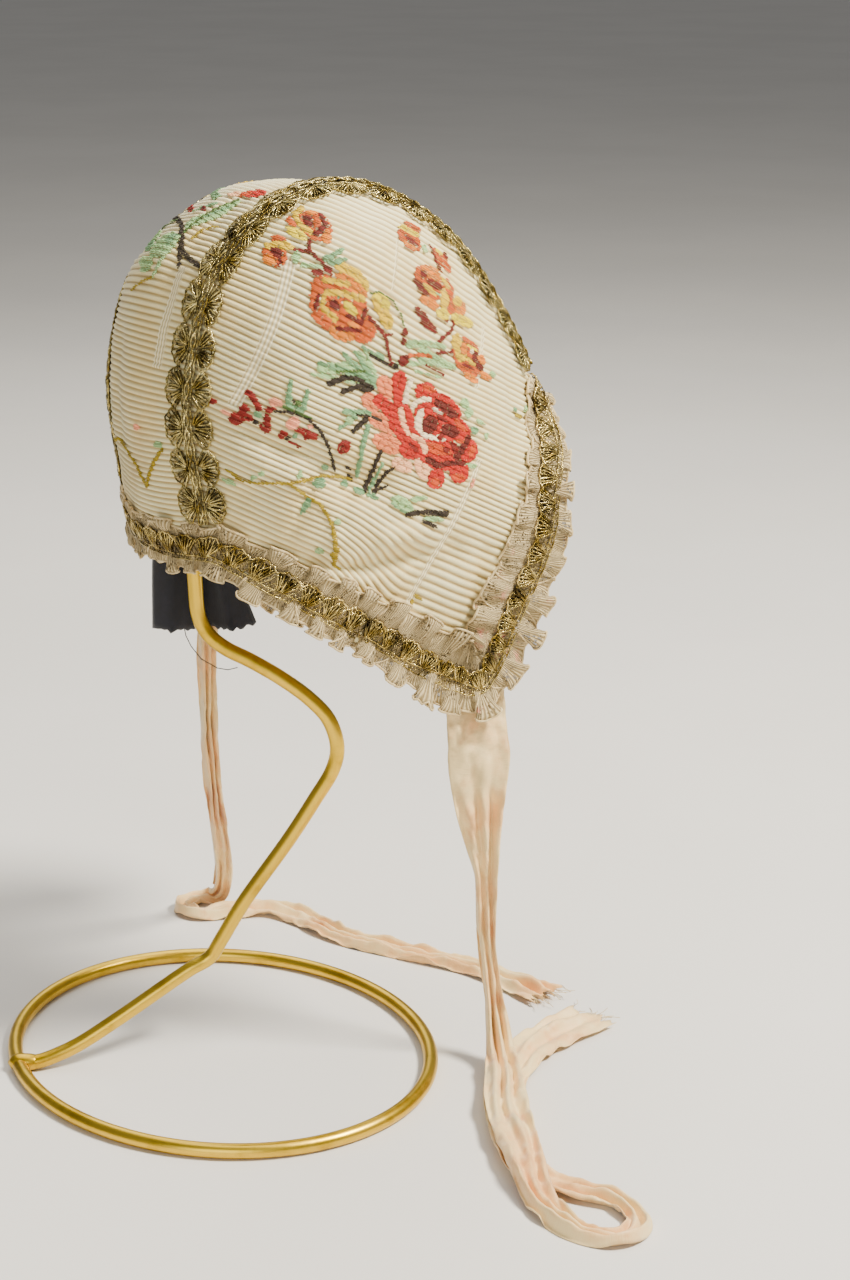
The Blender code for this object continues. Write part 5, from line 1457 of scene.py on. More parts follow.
def dyed_chart(marks, low, high):
    """Point paper: the dye number at each place, 0 where the silk shows."""
    along = np.arange(low[0], high[0], PAPER_ALONG)
    over = np.arange(low[1], high[1], PAPER_OVER)
    u, v = np.meshgrid(along, over)
    paper = np.zeros(u.shape, dtype=int)
    for mark in marks:
        dye = DYE_NAMES.index(mark[0]) + 1
        if not isinstance(mark[3], tuple):
            turn = math.radians(mark[5])
            du = u - mark[1]
            dv = v - mark[2]
            long = du * math.cos(turn) + dv * math.sin(turn)
            wide = dv * math.cos(turn) - du * math.sin(turn)
            paper[(long / mark[3]) ** 2 + (wide / mark[4]) ** 2 <= 1.0] = dye
            continue
        knots = np.array(mark[3:])
        runs = lengths(knots)
        for piece, run in enumerate(np.diff(knots, axis=0)):
            du = u - knots[piece][0]
            dv = v - knots[piece][1]
            part = np.clip((du * run[0] + dv * run[1]) / (run @ run), 0.0, 1.0)
            gap = np.hypot(du - part * run[0], dv - part * run[1])
            share = (runs[piece] + part * (runs[piece + 1] - runs[piece])) / runs[-1]
            paper[gap <= 0.5 * (mark[1] * (1.0 - share) + mark[2] * share)] = dye
    return along, over, paper


def float_runs(marks, low, high, longest, seed):
    """Woven floats of a chart: start, end, height across the ribs and dye."""
    rng = random.Random(seed)
    along, over, paper = dyed_chart(marks, low, high)
    runs = []
    for row in range(len(over)):
        line = paper[row]
        start = 0
        for spot in range(1, len(line) + 1):
            if spot < len(line) and line[spot] == line[start]:
                continue
            if line[start] > 0 and (spot - start) * PAPER_ALONG >= SHORTEST_FLOAT:
                first = along[start] + rng.uniform(-0.35, 0.3)
                last = along[spot - 1] + PAPER_ALONG + rng.uniform(-0.3, 0.35)
                while last - first > longest * 1.25:
                    cut = first + rng.uniform(0.55, 1.0) * longest
                    runs.append((first, cut - 0.08, over[row], line[start]))
                    first = cut
                runs.append((first, max(last, first + SHORTEST_FLOAT), over[row], line[start]))
            start = spot
    return runs


def weave_floats(name, runs, surface, on_side, rib_height, seed):
    """Every float as a small closed spindle lying along the ribs."""
    rng = random.Random(seed)
    count = len(runs)
    starts, ends, over = [np.array(values) for values in list(zip(*runs))[:3]]
    u = starts[:, None] + (ends - starts)[:, None] * FLOAT_SHARES
    v = np.repeat(over[:, None], len(FLOAT_SHARES), axis=1)
    places = surface(u, v)
    down = surface(u, v + 0.3) - surface(u, v - 0.3)
    ahead = surface(u + 0.3, v) - surface(u - 0.3, v)
    normals = unit(np.cross(ahead, down))
    normals[np.sum(normals * (places - HOOD_MIDDLE), axis=-1) < 0.0] *= -1.0
    wave = rib_wave(rib_count_place(u, v) if on_side else v)
    height = (wave * 0.55 + 0.4) * rib_height + FLOAT_RISE + FLOAT_SINK + silk_swell(places)
    spine = places + normals * height[..., None]
    aside = unit(np.cross(normals, ahead))
    turn = math.pi * 2.0 * (np.arange(5) + 0.25) / 5.0
    taper = FLOAT_TAPER[:, None]
    rings = spine[:, :, None] + (np.cos(turn) * FLOAT_WIDE * taper)[None, ..., None] * aside[:, :, None] + (
        np.sin(turn) * FLOAT_THICK * taper)[None, ..., None] * normals[:, :, None]
    faces = []
    for base in range(0, count * 25, 25):
        for here in range(base, base + 20, 5):
            for spot in range(5):
                after = (spot + 1) % 5
                faces.append((here + spot, here + after, here + 5 + after, here + 5 + spot))
        faces.append([base + spot for spot in range(4, -1, -1)])
        faces.append([base + 20 + spot for spot in range(5)])
    table = {key: vivid(value, 1.4) for key, value in DYES.items()}
    tints = np.array([table[DYE_NAMES[run[3] - 1]] * rng.uniform(0.78, 1.2) for run in runs])
    tints = np.repeat(np.clip(tints, 0.0, 1.0), 25, axis=0)
    return solids_object(name, rings.reshape(-1, 3), faces, tints, SHARED["flower"])


def fan(centre, root, reach_along, reach_across, side, spread, spokes):
    """Zigzag passes of one shell as places along, across and height in millimetres."""
    path = []
    for index, angle in enumerate(np.linspace(-spread, spread, 2 * spokes)):
        for reach, height in SHELL_PASS[::-1] if index % 2 else SHELL_PASS:
            path.append((centre + reach_along * reach * math.sin(angle),
                         root + side * reach_across * reach * (math.cos(angle) ** 0.6), height))
    return np.array(path)


def jitter(rng, path, column, low, high):
    """Move one value of every place of a path a little."""
    path[:, column] += np.array([rng.uniform(low, high) for spot in path])


def metal_tint(rng):
    """Slight difference from wire to wire."""
    level = rng.uniform(0.6, 1.15)
    return (level, level, level * rng.uniform(0.9, 1.05))


def glint_and_shade_tints(rng, count):
    """Tints of a flat wound wire: painted glints and painted shade in short pieces, where it catches the
    light.
    """
    return np.array([metal_tint(rng) for spot in range(count)]) * np.array(
        [rng.choice((0.2, 0.5, 0.9, 1.35)) for spot in range(count)])[:, None]


def edge_galloon():
    """Pierced metal braid round the free edge."""
    strip, share, length = edge_strip()
    rng = random.Random(11)
    bundle = Bundle()
    base = 1.9
    rows = EDGE_REPEATS * EDGE_ROWS_EACH
    per = rows / length
    each = length / EDGE_REPEATS
    for repeat in range(EDGE_REPEATS):
        centre = (repeat + 0.5) * each + rng.uniform(-0.3, 0.3)
        reach = 8.2 + rng.uniform(-0.6, 0.4)
        path = fan(centre, -1.2, each * 0.84, reach, 1.0, math.radians(37.0), 4)
        path[:, 2] += rng.uniform(-0.1, 0.25)
        jitter(rng, path, 0, -0.3, 0.3)
        jitter(rng, path, 1, -0.3, 0.3)
        # The passes carry painted glints and painted shade in their tints.
        strip.wire(bundle, path[:, 0] * per, path[:, 1], path[:, 2] + base, 0.25, 5, glint_and_shade_tints(rng, len(path)))
        # The under layer is tinted near black: painted shade between the passes.
        path = fan(centre, -0.9, each * 0.74, reach - 0.8, 1.0, math.radians(34.0), 4)
        strip.wire(bundle, path[:, 0] * per, path[:, 1], base - 0.4, 0.4, 4, UNDER_SHADE_TINT)
    spots = np.arange(0.0, EDGE_REPEATS, 1.0 / 14.0)
    inside = (spots % 1.0) * 2.0 - 1.0
    ripple = spots * 14.0 * math.pi * 0.5
    scallop = 7.4 - 1.9 * np.abs(inside) ** 2.4 + 0.28 * np.sin(ripple)
    height = base + 0.35 + 0.15 * np.cos(ripple)
    strip.wire(bundle, spots * EDGE_ROWS_EACH, scallop, height, 0.3, 5, metal_tint(rng), True)
    spots = np.arange(0, rows, 2.0)
    for across, lift in ((-1.1, 0.1), (0.4, 0.0)):
        wobble = 0.12 * np.sin(spots * 0.9 + across * 7.0)
        strip.wire(bundle, spots, across + wobble, base + lift, 0.24, 5, metal_tint(rng), True)
    # The zigzag passes carry painted glints and painted shade in their tints.
    spots = np.arange(0.0, rows, 1.05)
    ways = np.where(np.arange(len(spots)) % 2, 1.0, -1.0)
    for middle, reach, lift in ((-0.2, 1.1, 0.0), (1.7, 1.3, 0.2), (3.7, 1.4, 0.4), (5.5, 1.2, 0.35)):
        swing = ways * np.array([rng.uniform(0.5, 1.2) for spot in spots])
        strip.wire(bundle, spots + 0.5 * middle, middle + reach * swing, base + lift, 0.24, 4,
                   glint_and_shade_tints(rng, len(spots)), True)
    return bundle.finish("edge_braid_thread", SHARED["gold_edge"])


def shell_width(share):
    """Half width of the seam's braid at shares of the seam, wide at the nape."""
    return 5.0 + 2.8 * ease((0.42 - share) / 0.30)


def seam_galloon(name, sign):
    """Pierced metal braid with a shell on each side of its plaited middle."""
    strip, share = seam_strip(sign)
    rng = random.Random(23 if sign < 0.0 else 29)
    rows = len(share) - 1
    each = (SEAM_LENGTH - 2.0 * SEAM_START) / MM / SEAM_REPEATS
    per = SEAM_ROWS_EACH / each
    bundle = Bundle()
    base = 1.3
    spread = math.radians(76.0)
    for repeat in range(SEAM_REPEATS):
        centre = (repeat + 0.5) * each
        wide = float(shell_width(share[int((repeat + 0.5) * SEAM_ROWS_EACH)]))
        for side in (-1.0, 1.0):
            middle = centre + rng.uniform(-0.4, 0.4)
            path = fan(middle, side, each * 0.52, wide - 1.1, side, spread, 6)
            path[:, 2] += rng.uniform(-0.1, 0.35)
            jitter(rng, path, 0, -0.3, 0.3)
            jitter(rng, path, 1, -0.3, 0.3)
            jitter(rng, path, 2, -0.1, 0.3)
            # The shell's passes carry painted glints and painted shade in their tints.
            tint = glint_and_shade_tints(rng, len(path))
            strip.wire(bundle, path[:, 0] * per, path[:, 1], path[:, 2] + base, 0.27, 5, tint)
            # The under layer is tinted near black: painted shade between the passes.
            path = fan(middle, side, each * 0.42, wide - 1.9, side, spread, 5)
            strip.wire(bundle, path[:, 0] * per, path[:, 1], base - 0.35, 0.34, 4, UNDER_SHADE_TINT)
    for side in (-1.0, 1.0):
        spots = np.arange(0.0, SEAM_REPEATS, 1.0 / 18.0)
        wide = shell_width(np.interp(spots * SEAM_ROWS_EACH, np.arange(rows + 1), share))
        inside = (spots % 1.0) * 2.0 - 1.0
        scallop = wide * (1.0 - 0.42 * np.abs(inside) ** 3.0) + 0.25 * np.sin(spots * 18.0 * math.pi * 0.5)
        # The rims and plaits carry painted glints and painted shade in their tints.
        tint = glint_and_shade_tints(rng, len(spots))
        strip.wire(bundle, spots * SEAM_ROWS_EACH, side * scallop, base + 0.25, 0.28, 5, tint)
        spots = np.arange(0.0, rows, 0.75)
        weave = spots / per / 4.6 * math.pi
        height = base + 0.45 + 0.25 * side * np.sin(weave)
        strip.wire(bundle, spots, side * 0.62 * np.cos(weave), height, 0.32, 5, glint_and_shade_tints(rng, len(spots)))
        across = side * (1.3 + 0.15 * np.sin(weave * 2.0))
        strip.wire(bundle, spots, across, base + 0.3, 0.26, 5, glint_and_shade_tints(rng, len(spots)))
    spots = np.arange(0.0, rows, 0.42)
    across = 1.5 * np.where(np.arange(len(spots)) % 2, 1.0, -1.0)
    strip.wire(bundle, spots, across, base - 0.1, 0.24, 4, (0.6, 0.58, 0.5))
    return bundle.finish(name, SHARED["gold_seam"])


def smooth_noise(spots, scale, second, third):
    """Slow noise along a line of places."""
    return np.array([noise.noise(Vector((spot * scale, second, third))) for spot in spots])


def lace_frill(frill_wave):
    """Gathered lace on both sides of the edge braid, with its hem cords and heavier threads."""
    strip, share, length = edge_strip()
    count = LACE_ROWS
    spots = np.arange(count) * (length / count)
    per = EDGE_ROWS_EACH * EDGE_REPEATS / length
    drift = smooth_noise(spots, 0.035, 0.0, 4.0)
    uneven = smooth_noise(spots, 0.11, 7.0, 1.0)
    waves = round(length / frill_wave)
    phase = 2.0 * math.pi * waves * spots / length + 2.4 * drift
    fine = 2.0 * math.pi * round(length / 3.1) * spots / length + 3.0 * uneven
    row_share = np.interp(spots * per, np.arange(len(share) + 1), np.concatenate((share, share[:1])))
    inner = reach_at(LACE_INNER, row_share) + 2.0 * uneven + 1.3 * np.cos(phase + 0.4)
    outer = reach_at(LACE_OUTER, row_share) * (1.0 + 0.25 * uneven + 0.15 * np.cos(phase))
    columns = []
    for part in LACE_PARTS[::-1]:
        puff = 0.5 + 0.5 * np.cos(phase)
        height = 1.0 + part * (0.3 + 0.5 * outer * puff * (1.0 + 0.9 * uneven)) + 0.45 * part * np.sin(fine)
        height -= 1.1 * max(part - 0.8, 0.0) / 0.2 * puff
        shift = 1.9 * part * part * np.sin(2.0 * phase)
        columns.append(strip.at((spots + shift) * per, 1.0 - part * (outer + 1.0), height)[0])
    for across in LACE_UNDER:
        columns.append(strip.at(spots * per, across, 0.9)[0])
    for part in LACE_PARTS:
        puff = 0.5 + 0.5 * np.cos(phase + 0.4)
        beyond = inner - 5.0
        height = (0.9 + part * (0.3 + 0.3 * beyond * puff * (1.0 + 1.1 * uneven))
                  + 0.4 * part * np.sin(fine + 1.0))
        height -= 1.3 * max(part - 0.8, 0.0) / 0.2 * puff
        shift = 1.8 * part * part * np.sin(2.0 * phase + 0.6)
        columns.append(strip.at((spots + shift) * per, 5.0 + part * beyond, height)[0])
    points = np.stack(columns, axis=1)
    ups = grid_normals(points, True)
    soft = crumple(points, 4.2 * MM, 5.0) * 0.5 + crumple(points, 2.1 * MM, 2.0) * 0.3
    points = points + ups * (soft * MM)[..., None]
    beyond = -outer.mean() * np.linspace(1.0, 0.1, 7)
    widths = np.concatenate((beyond, LACE_UNDER, np.linspace(5.4, 16.0, 7)))
    plan = np.stack(np.broadcast_arrays(spots[:, None] * 1.6, widths[None, :]), axis=-1)
    item = grid_object("lace_net", points, plan, closed=True)
    make_outward(item)
    give_values(item, "pink", np.repeat(np.exp(-((row_share - 0.42) / 0.16) ** 2), points.shape[1]))
    item.data.materials.append(SHARED["lace"])
    thicken(item, 0.3 * MM, 0.0)
    bundle = Bundle()
    last = points.shape[1] - 1
    for column in (0, last):
        bundle.tube(points[:, column], ups[:, column], 0.42 * MM, 5, linear((240, 228, 204)), True)
    rng = random.Random(17)
    for wave in range(waves):
        for gather in (range(0, 6), range(last, last - 5, -1)):
            row = int((wave + 0.5 + rng.uniform(-0.22, 0.22)) * (count / waves)) % count
            if rng.random() < 0.3:
                continue
            slant = rng.choice((-1, 1)) * count // LACE_ROWS
            path = np.array([points[(row + slant * spot) % count, column] + ups[row, column] * 0.3 * MM
                             for spot, column in enumerate(gather)])
            normals = np.tile(ups[row, gather[0]], (len(path), 1))
            bundle.tube(path, normals, 0.3 * MM, 5, linear((232, 216, 186)))
    cord = bundle.finish("lace_hem_cord", SHARED["cord"])
    ahead = np.roll(points, -1, axis=0) - points
    over = np.diff(points, axis=1)
    area = float(np.linalg.norm(np.cross(ahead[:, :-1], over), axis=-1).sum())
    return item, cord, area, float(np.linalg.norm(over, axis=-1).sum(axis=1).mean())


def level_way(row, along):
    """Level direction across a tie at a row of its table."""
    if row[4] is None:
        return unit(np.array((along[1], -along[0], 0.0)))
    return np.array((math.cos(math.radians(row[4])), math.sin(math.radians(row[4])), 0.0))


def tie_grid(rows, stations, waves):
    """Rows of points of a tie ribbon with soft lengthways folds, its upward directions and its run."""
    path, where, run = curve_through(in_metres(rows, 1, 2, 3), stations)
    spread = np.linspace(-0.5, 0.5, TIE_COLUMNS)
    points = np.zeros((stations, TIE_COLUMNS, 3))
    ups = np.zeros((stations, 3))
    before = None
    for index in range(stations):
        along = unit(path[min(index + 1, stations - 1)] - path[max(index - 1, 0)])
        low = min(int(where[index]), len(rows) - 2)
        part = where[index] - low
        sides = []
        for row in (rows[low], rows[low + 1]):
            flat = level_way(row, along)
            if before is not None and flat @ before < 0.0:
                flat = -flat
            if sides and flat @ sides[0] < 0.0:
                flat = -flat
            sides.append(flat)
        side = sides[0] * (1.0 - part) + sides[1] * part
        side = unit(side - along * (side @ along))
        before = side
        up = np.cross(along, side)
        pleat = math.radians(rows[low][5] * (1.0 - part) + rows[low + 1][5] * part)
        chord = TIE_WIDTH * math.cos(pleat)
        steep = math.sqrt(max(2.0 * ((TIE_WIDTH / chord) ** 2 * 0.9 - 1.0), 0.02))
        rise = steep * chord / (2.0 * math.pi * waves)
        drift = 1.4 * noise.noise(Vector((run[index] / 0.03, waves, 2.0)))
        wander = np.array([noise.noise(Vector((run[index] / 0.024, 1.6 * place, 6.0))) for place in spread])
        level = np.array([noise.noise(Vector((run[index] / 0.018, 1.2 * place, 9.0))) for place in spread])
        lift = -rise * (0.95 + 0.8 * level) * np.cos(
            2.0 * math.pi * waves * (spread + 0.5) + drift * (spread + 0.5) * 2.0 + 2.6 * wander)
        lift = lift * (1.0 + 0.35 * np.sin(5.0 * spread + run[index] / 0.02))
        points[index] = path[index] + side * (spread * chord)[:, None] + up * lift[:, None]
        ups[index] = up
    return points, ups, run


def off_floor(points, gap):
    """Keep points above the floor."""
    points[..., 2] = np.maximum(points[..., 2], gap)


def tie_ribbon(name, rows, seed, torn):
    """Thin crumpled ribbon with loose threads at its end."""
    rng = random.Random(seed)
    stations = 340
    points, ups, run = tie_grid(rows, stations, 2.5)
    spread = np.linspace(-0.5, 0.5, TIE_COLUMNS)
    crumples = np.zeros((stations, TIE_COLUMNS))
    for row in range(stations):
        for column in range(TIE_COLUMNS):
            place = Vector((run[row] / 0.009, spread[column] * 2.3, seed))
            small = Vector((run[row] / 0.0034, spread[column] * 7.0, seed + 4.0))
            slant = Vector((run[row] / 0.011 + spread[column] * 1.8, spread[column] * 4.6, seed + 8.0))
            crumples[row, column] = (noise.noise(place) * 0.9 + noise.noise(small) * 0.5
                                     - 1.3 * abs(noise.noise(slant)))
    fade = ease(run / 0.02)[:, None]
    points = points + ups[:, None] * (crumples * fade * 1.3 * MM)[..., None]
    off_floor(points, FLOOR_GAP)
    tail = points[-1] - points[-3]
    for column in range(TIE_COLUMNS):
        extra = torn * (0.6 * rng.random() + 0.4 * math.sin(column * 0.7 + seed))
        points[-1, column] += tail[column] * extra
    off_floor(points, FLOOR_GAP)
    plan = np.stack(np.broadcast_arrays(spread[None, :] * TIE_WIDTH / MM, run[:, None] / MM), axis=-1)
    item = grid_object(name, points, plan)
    item.data.materials.append(SHARED["ribbon"])
    thicken(item, 0.24 * MM, 0.0)
    bundle = Bundle()
    for thread in range(16):
        column = rng.randrange(TIE_COLUMNS)
        start = points[-1, column]
        way = unit(start - points[-3, column])
        aside = np.array((-way[1], way[0], 0.0)) * rng.uniform(-0.9, 0.9)
        reach = rng.uniform(2.0, 7.5) * MM
        path = np.array([start + way * reach * t + aside * reach * t * t for t in np.linspace(0.0, 1.0, 6)])
        path[:, 2] += np.linspace(0.0, -1.0, 6) * MM
        off_floor(path, 0.15 * MM)
        bundle.tube(path, np.tile(UP, (6, 1)), 0.11 * MM, 4, linear((226, 196, 170)))
    threads = bundle.finish(name + "_loose_threads", SHARED["cord"])
    return item, threads, run[-1]


def stand_parts():
    """Ring, rod and solder of the wire stand as one piece."""
    bundle = Bundle()
    turn = math.radians(47.07)
    middle = plan_point(0.4 * MM, -4.0 * MM, 0.0)
    long_way = plan_point(math.cos(turn), -math.sin(turn), 0.0)
    short_way = np.array((-long_way[1], long_way[0], 0.0))
    angles = 2.0 * math.pi * np.arange(150) / 150.0
    ring = (middle + 77.5 * MM * np.cos(angles)[:, None] * long_way
            + 66.6 * MM * np.sin(angles)[:, None] * short_way)
    ring[:, 2] = WIRE_RADIUS
    bundle.tube(ring, np.tile(UP, (150, 1)), WIRE_RADIUS, 24, closed=True)
    path = curve_through(in_metres(ROD_ROWS, 1, 2, 3), 220)[0]
    bundle.tube(path, np.tile(ROD_SIDE, (220, 1)), WIRE_RADIUS, 24)
    blob = np.array([path[0] + (path[4] - path[0]) * t for t in np.linspace(-0.4, 1.2, 9)])
    swell = np.array((0.5, 2.3, 2.9, 3.05, 3.0, 2.95, 2.85, 2.6, 2.2)) * MM
    bundle.tube(blob, np.tile(ROD_SIDE, (9, 1)), swell, 20)
    return bundle.finish("brass_wire_stand", SHARED["brass"])


def pad_dome():
    """Padded dome under the crown."""
    deselect()
    bpy.ops.mesh.primitive_uv_sphere_add(segments=48, ring_count=24, radius=1.0)
    item = bpy.context.view_layer.objects.active
    item.name = "pad_dome"
    item.data.name = "pad_dome"
    wide, deep, high = PAD_HALF
    for vertex in item.data.vertices:
        x, y, z = vertex.co
        if z < 0.0:
            z *= 0.55
        wrinkle = 1.0 + 0.012 * noise.noise(Vector((x, y, z)) * 6.0)
        vertex.co = Vector((x * wide * wrinkle, y * deep * wrinkle + PAD_PLACE[0],
                            z * high * wrinkle + PAD_PLACE[1] - CROWN_LEAN * x * wide)) + Vector(SHIFT)
    item.data.materials.append(SHARED["black"])
    shade_smooth(item)
    return item


def pad_tail():
    """Black cloth hanging from the pad behind the rod, with a ragged hem and a loose thread."""
    rng = random.Random(5)
    rows = 60
    columns = 34
    path, where = curve_through(in_metres(PAD_CLOTH, 3, 4, 1), rows)[:2]
    away = np.interp(where, range(len(PAD_CLOTH)), in_metres(PAD_CLOTH, 2)[:, 0])
    points = np.zeros((rows, columns, 3))
    ragged = [rng.uniform(-0.7, 0.7) + 3.5 * max(column / 33.0 - 0.55, 0.0) for column in range(columns)]
    for row in range(rows):
        down = row / (rows - 1.0)
        for column in range(columns):
            across = 2.0 * column / (columns - 1) - 1.0
            right = across * (path[row, 1] if across > 0.0 else path[row, 0]) - 2.5 * MM
            back = (away[row] + (1.6 + 1.0 * down) * MM * math.cos(across * 5.0)
                    + 0.15 * MM * math.cos(across * 17.0))
            up = path[row, 2] + ragged[column] * MM * max(down - 0.9, 0.0) * 10.0
            points[row, column] = plan_point(right, back, up)
    item = grid_object("pad_tail_cloth", points, np.zeros((rows, columns, 2)))
    item.data.materials.append(SHARED["black"])
    thicken(item, 0.8 * MM, 0.0)
    path = np.array([points[-1, 10] + PICTURE_RIGHT * right * MM + np.array((0.0, 0.0, up * MM))
                     for right, up in THREAD_DROOP])
    bundle = Bundle()
    bundle.tube(path, np.tile(unit(np.array((-0.88, 0.47, 0.2))), (len(path), 1)), 0.17 * MM, 5)
    return item, bundle.finish("pad_loose_thread", SHARED["black"])


def make_materials(settings):
    """Every material once."""
    silk, ribbon, brass = [tuple(255.0 * part for part in tone)
                           for tone in (settings.silk_colour, settings.ribbon_colour, settings.brass_colour)]
    SHARED["side_silk"] = silk_material("ribbed_silk_side", silk, STRIPES)
    SHARED["crown_silk"] = silk_material("ribbed_silk_crown", silk, CROWN_STRIPES)
    SHARED["linen"] = linen_material()
    SHARED["flower"] = flower_material()
    # Dark tone of the metal thread: painted shade; its bright tones are painted highlights.
    dark = (42, 32, 16)
    SHARED["gold_seam"] = metal_thread_material("gold_thread_seam", (228, 212, 160), (128, 110, 66), dark)
    SHARED["gold_edge"] = metal_thread_material("gold_thread_edge", (230, 210, 156), (130, 110, 64), dark)
    SHARED["lace"] = lace_material()
    SHARED["cord"] = plain_material("hem_cord", (216, 198, 160), (184, 162, 124), 0.75, 300.0, sheen=0.2)
    SHARED["ribbon"] = ribbon_material(ribbon)
    SHARED["brass"] = plain_material(
        "brass", brass, (176, 146, 78), 0.34, 55.0, metal=1.0, depth=0.00006, low=0.45, high=0.72)
    SHARED["black"] = plain_material(
        "black_cloth", (10, 10, 16), (18, 18, 26), 0.85, 300.0, depth=0.0003, sheen=0.3)
    SHARED["floor"] = plain_material("pale_floor", (226, 222, 214), (222, 218, 210), 0.9, 3.0, depth=0.0)


class BonnetSettings(bpy.types.PropertyGroup):
    """Sizes and colours that the operators read."""

    rib_height: bpy.props.FloatProperty(
        name="Rib height", description="Height of the silk's ribs over the grooves", default=RIB_HEIGHT,
        min=0.0, max=0.001, precision=5, subtype="DISTANCE", unit="LENGTH")
    float_length: bpy.props.FloatProperty(
        name="Longest float in mm", description="Longest woven stitch of the flowers", default=3.6,
        min=1.0, max=8.0)
    frill_wave: bpy.props.FloatProperty(
        name="Frill wave in mm", description="Distance from one gather of the lace to the next",
        default=11.6, min=5.0, max=20.0)
    silk_colour: bpy.props.FloatVectorProperty(
        name="Silk colour", description="Colour of the silk's ribs in full light", size=3, min=0.0, max=1.0,
        subtype="COLOR_GAMMA", default=(255 / 255, 243 / 255, 204 / 255))
    ribbon_colour: bpy.props.FloatVectorProperty(
        name="Ribbon colour", description="Colour of the clean ties", size=3, min=0.0, max=1.0,
        subtype="COLOR_GAMMA", default=(250 / 255, 224 / 255, 178 / 255))
    brass_colour: bpy.props.FloatVectorProperty(
        name="Brass colour", description="Colour of the stand's bright wire", size=3, min=0.0, max=1.0,
        subtype="COLOR_GAMMA", default=(214 / 255, 184 / 255, 108 / 255))


class BONNET_OT_crown_panel(bpy.types.Operator):
    """Ribbed silk crown panel with its woven twigs"""

    bl_idname = "bonnet.crown_panel"
    bl_label = "Crown panel"

    def execute(self, context):
        settings = context.scene.bonnet
        item = crown_panel("crown_silk_panel", settings.rib_height)
        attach(item, "root")
        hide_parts("crown_panel")
        runs = float_runs(TWIGS, (-31.0, 8.0), (31.0, 228.0), settings.float_length, 41)

        def surface(u, v):
            share = v * MM / SEAM_LENGTH
            half = along_table(share, SEAM_HALF)
            return crown_surface(share, np.clip(u * MM / half, -0.985, 0.985))

        woven = weave_floats("crown_woven_twigs", runs, surface, False, settings.rib_height, 43)
        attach(woven, "root")
        return {"FINISHED"}


class BONNET_OT_side_panels(bpy.types.Operator):
    """Both ribbed silk side panels with their woven sprays"""

    bl_idname = "bonnet.side_panels"
    bl_label = "Side panels"

    def execute(self, context):
        settings = context.scene.bonnet
        outline = side_outline()
        kept = []
        for run in float_runs(SPRAY, (-21.0, -46.0), (106.0, 78.0), settings.float_length, 17):
            low, high = row_span(outline, run[2])
            if run[0] > low + 1.0 and run[1] < high - 1.0:
                kept.append(run)
        for sign, side in SIDES:
            item = side_panel("side_silk_panel_" + side, sign, settings.rib_height)
            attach(item, "root")
            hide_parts("side_panel_" + side)

            def surface(u, v, sign=sign):
                return side_surface(from_chart(u, v), sign)

            woven = weave_floats("side_woven_spray_" + side, kept, surface, True, settings.rib_height, 19)
            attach(woven, "root")
        return {"FINISHED"}


class BONNET_OT_seam_galloon(bpy.types.Operator):
    """Pierced metal braid along both seams"""

    bl_idname = "bonnet.seam_galloon"
    bl_label = "Seam braid"

    def execute(self, context):
        for sign, side in SIDES:
            item = seam_galloon("seam_braid_thread_" + side, sign)
            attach(item, "root")
            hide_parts("seam_braid_" + side)
        return {"FINISHED"}


class BONNET_OT_edge_galloon(bpy.types.Operator):
    """Pierced metal braid round the free edge"""

    bl_idname = "bonnet.edge_galloon"
    bl_label = "Edge braid"

    def execute(self, context):
        item = edge_galloon()
        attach(item, "root")
        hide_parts("edge_braid")
        return {"FINISHED"}


class BONNET_OT_lace(bpy.types.Operator):
    """Gathered lace under the edge braid"""

    bl_idname = "bonnet.lace"
    bl_label = "Lace"

    def execute(self, context):
        item, cord, area, width = lace_frill(context.scene.bonnet.frill_wave)
        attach(item, "root")
        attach(cord, "root")
        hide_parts("lace_edging")
        return {"FINISHED"}


class BONNET_OT_ties(bpy.types.Operator):
    """The two ribbon ties"""

    bl_idname = "bonnet.ties"
    bl_label = "Ties"

    def execute(self, context):
        for side, rows, seed, torn in (("right", RIGHT_TIE, 3, 1.6), ("left", LEFT_TIE, 8, 1.8)):
            item, threads, run = tie_ribbon("tie_silk_" + side, rows, seed, torn)
            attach(item, "root")
            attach(threads, "root")
            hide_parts("tie_ribbon_" + side)
        return {"FINISHED"}


class BONNET_OT_stand(bpy.types.Operator):
    """Wire ring and rod"""

    bl_idname = "bonnet.stand"
    bl_label = "Stand"

    def execute(self, context):
        item = stand_parts()
        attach(item, "root")
        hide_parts("wire_stand")
        return {"FINISHED"}


class BONNET_OT_pad(bpy.types.Operator):
    """Padded dome and the cloth hanging from it"""

    bl_idname = "bonnet.pad"
    bl_label = "Pad"

    def execute(self, context):
        dome = pad_dome()
        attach(dome, "root")
        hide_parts("head_pad")
        tail, thread = pad_tail()
        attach(tail, "root")
        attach(thread, "root")
        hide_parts("pad_cloth")
        return {"FINISHED"}


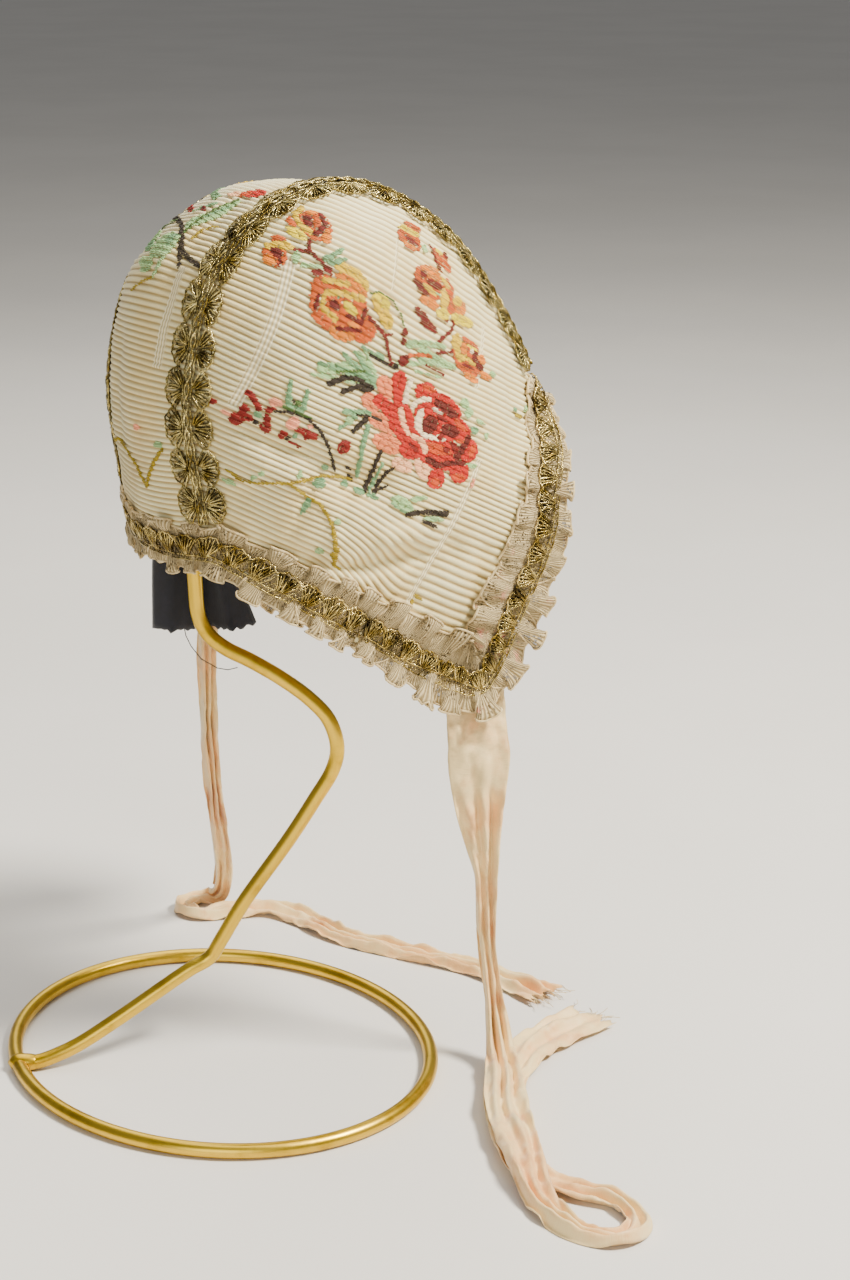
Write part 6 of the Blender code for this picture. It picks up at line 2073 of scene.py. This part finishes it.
class BONNET_OT_stage(bpy.types.Operator):
    """Pale floor, camera and soft studio light"""

    bl_idname = "bonnet.stage"
    bl_label = "Stage"

    def execute(self, context):
        deselect()
        bpy.ops.mesh.primitive_plane_add(size=24.0)
        floor = bpy.context.view_layer.objects.active
        floor.name = "floor"
        floor.data.materials.append(SHARED["floor"])
        data = bpy.data.cameras.new("camera")
        camera = link_object("camera", data)
        data.lens = 67.5
        data.sensor_fit = "VERTICAL"
        data.sensor_width = 36.0
        data.sensor_height = 36.0
        data.clip_start = 0.01
        slope = math.radians(17.5)
        look = Vector((0.8829 * math.cos(slope), -0.4695 * math.cos(slope), -math.sin(slope)))
        camera.location = (-0.667792, 0.316670, 0.383700)
        camera.rotation_euler = look.to_track_quat("-Z", "Y").to_euler()
        context.scene.camera = camera
        for name, place, size, power, tone in LAMPS:
            light = bpy.data.lights.new(name, "AREA")
            light.shape = "DISK"
            light.size = size
            light.energy = power
            light.color = tone
            lamp = link_object(name, light)
            lamp.location = place
            lamp.rotation_euler = (LIT_PLACE - Vector(place)).to_track_quat("-Z", "Y").to_euler()
        world = bpy.data.worlds.new("room")
        world.use_nodes = True
        room = world.node_tree.nodes["Background"]
        room.inputs["Color"].default_value = (0.93, 0.95, 1.0, 1.0)
        room.inputs["Strength"].default_value = 0.23
        context.scene.world = world
        return {"FINISHED"}


class BONNET_PT_panel(bpy.types.Panel):
    """Buttons for the pieces"""

    bl_idname = "BONNET_PT_panel"
    bl_label = "Baby bonnet"
    bl_space_type = "VIEW_3D"
    bl_region_type = "UI"
    bl_category = "Bonnet"

    def draw(self, context):
        for name in BonnetSettings.__annotations__:
            self.layout.prop(context.scene.bonnet, name)
        for entry in CLASSES[1:-1]:
            self.layout.operator(entry.bl_idname)


CLASSES = (
    BonnetSettings,
    BONNET_OT_crown_panel,
    BONNET_OT_side_panels,
    BONNET_OT_seam_galloon,
    BONNET_OT_edge_galloon,
    BONNET_OT_lace,
    BONNET_OT_ties,
    BONNET_OT_stand,
    BONNET_OT_pad,
    BONNET_OT_stage,
    BONNET_PT_panel,
)


def register():
    """Make the classes and the settings known."""
    for entry in CLASSES:
        bpy.utils.register_class(entry)
    bpy.types.Scene.bonnet = bpy.props.PointerProperty(type=BonnetSettings)


def unregister():
    """Forget the settings and the classes."""
    del bpy.types.Scene.bonnet
    for entry in reversed(CLASSES):
        bpy.utils.unregister_class(entry)


def main():
    """Build every piece."""
    register()
    make_materials(bpy.context.scene.bonnet)
    bpy.ops.bonnet.crown_panel()
    bpy.ops.bonnet.side_panels()
    bpy.ops.bonnet.seam_galloon()
    bpy.ops.bonnet.edge_galloon()
    bpy.ops.bonnet.lace()
    bpy.ops.bonnet.ties()
    bpy.ops.bonnet.stand()
    bpy.ops.bonnet.pad()
    bpy.ops.bonnet.stage()


if __name__ == "__main__":
    main()
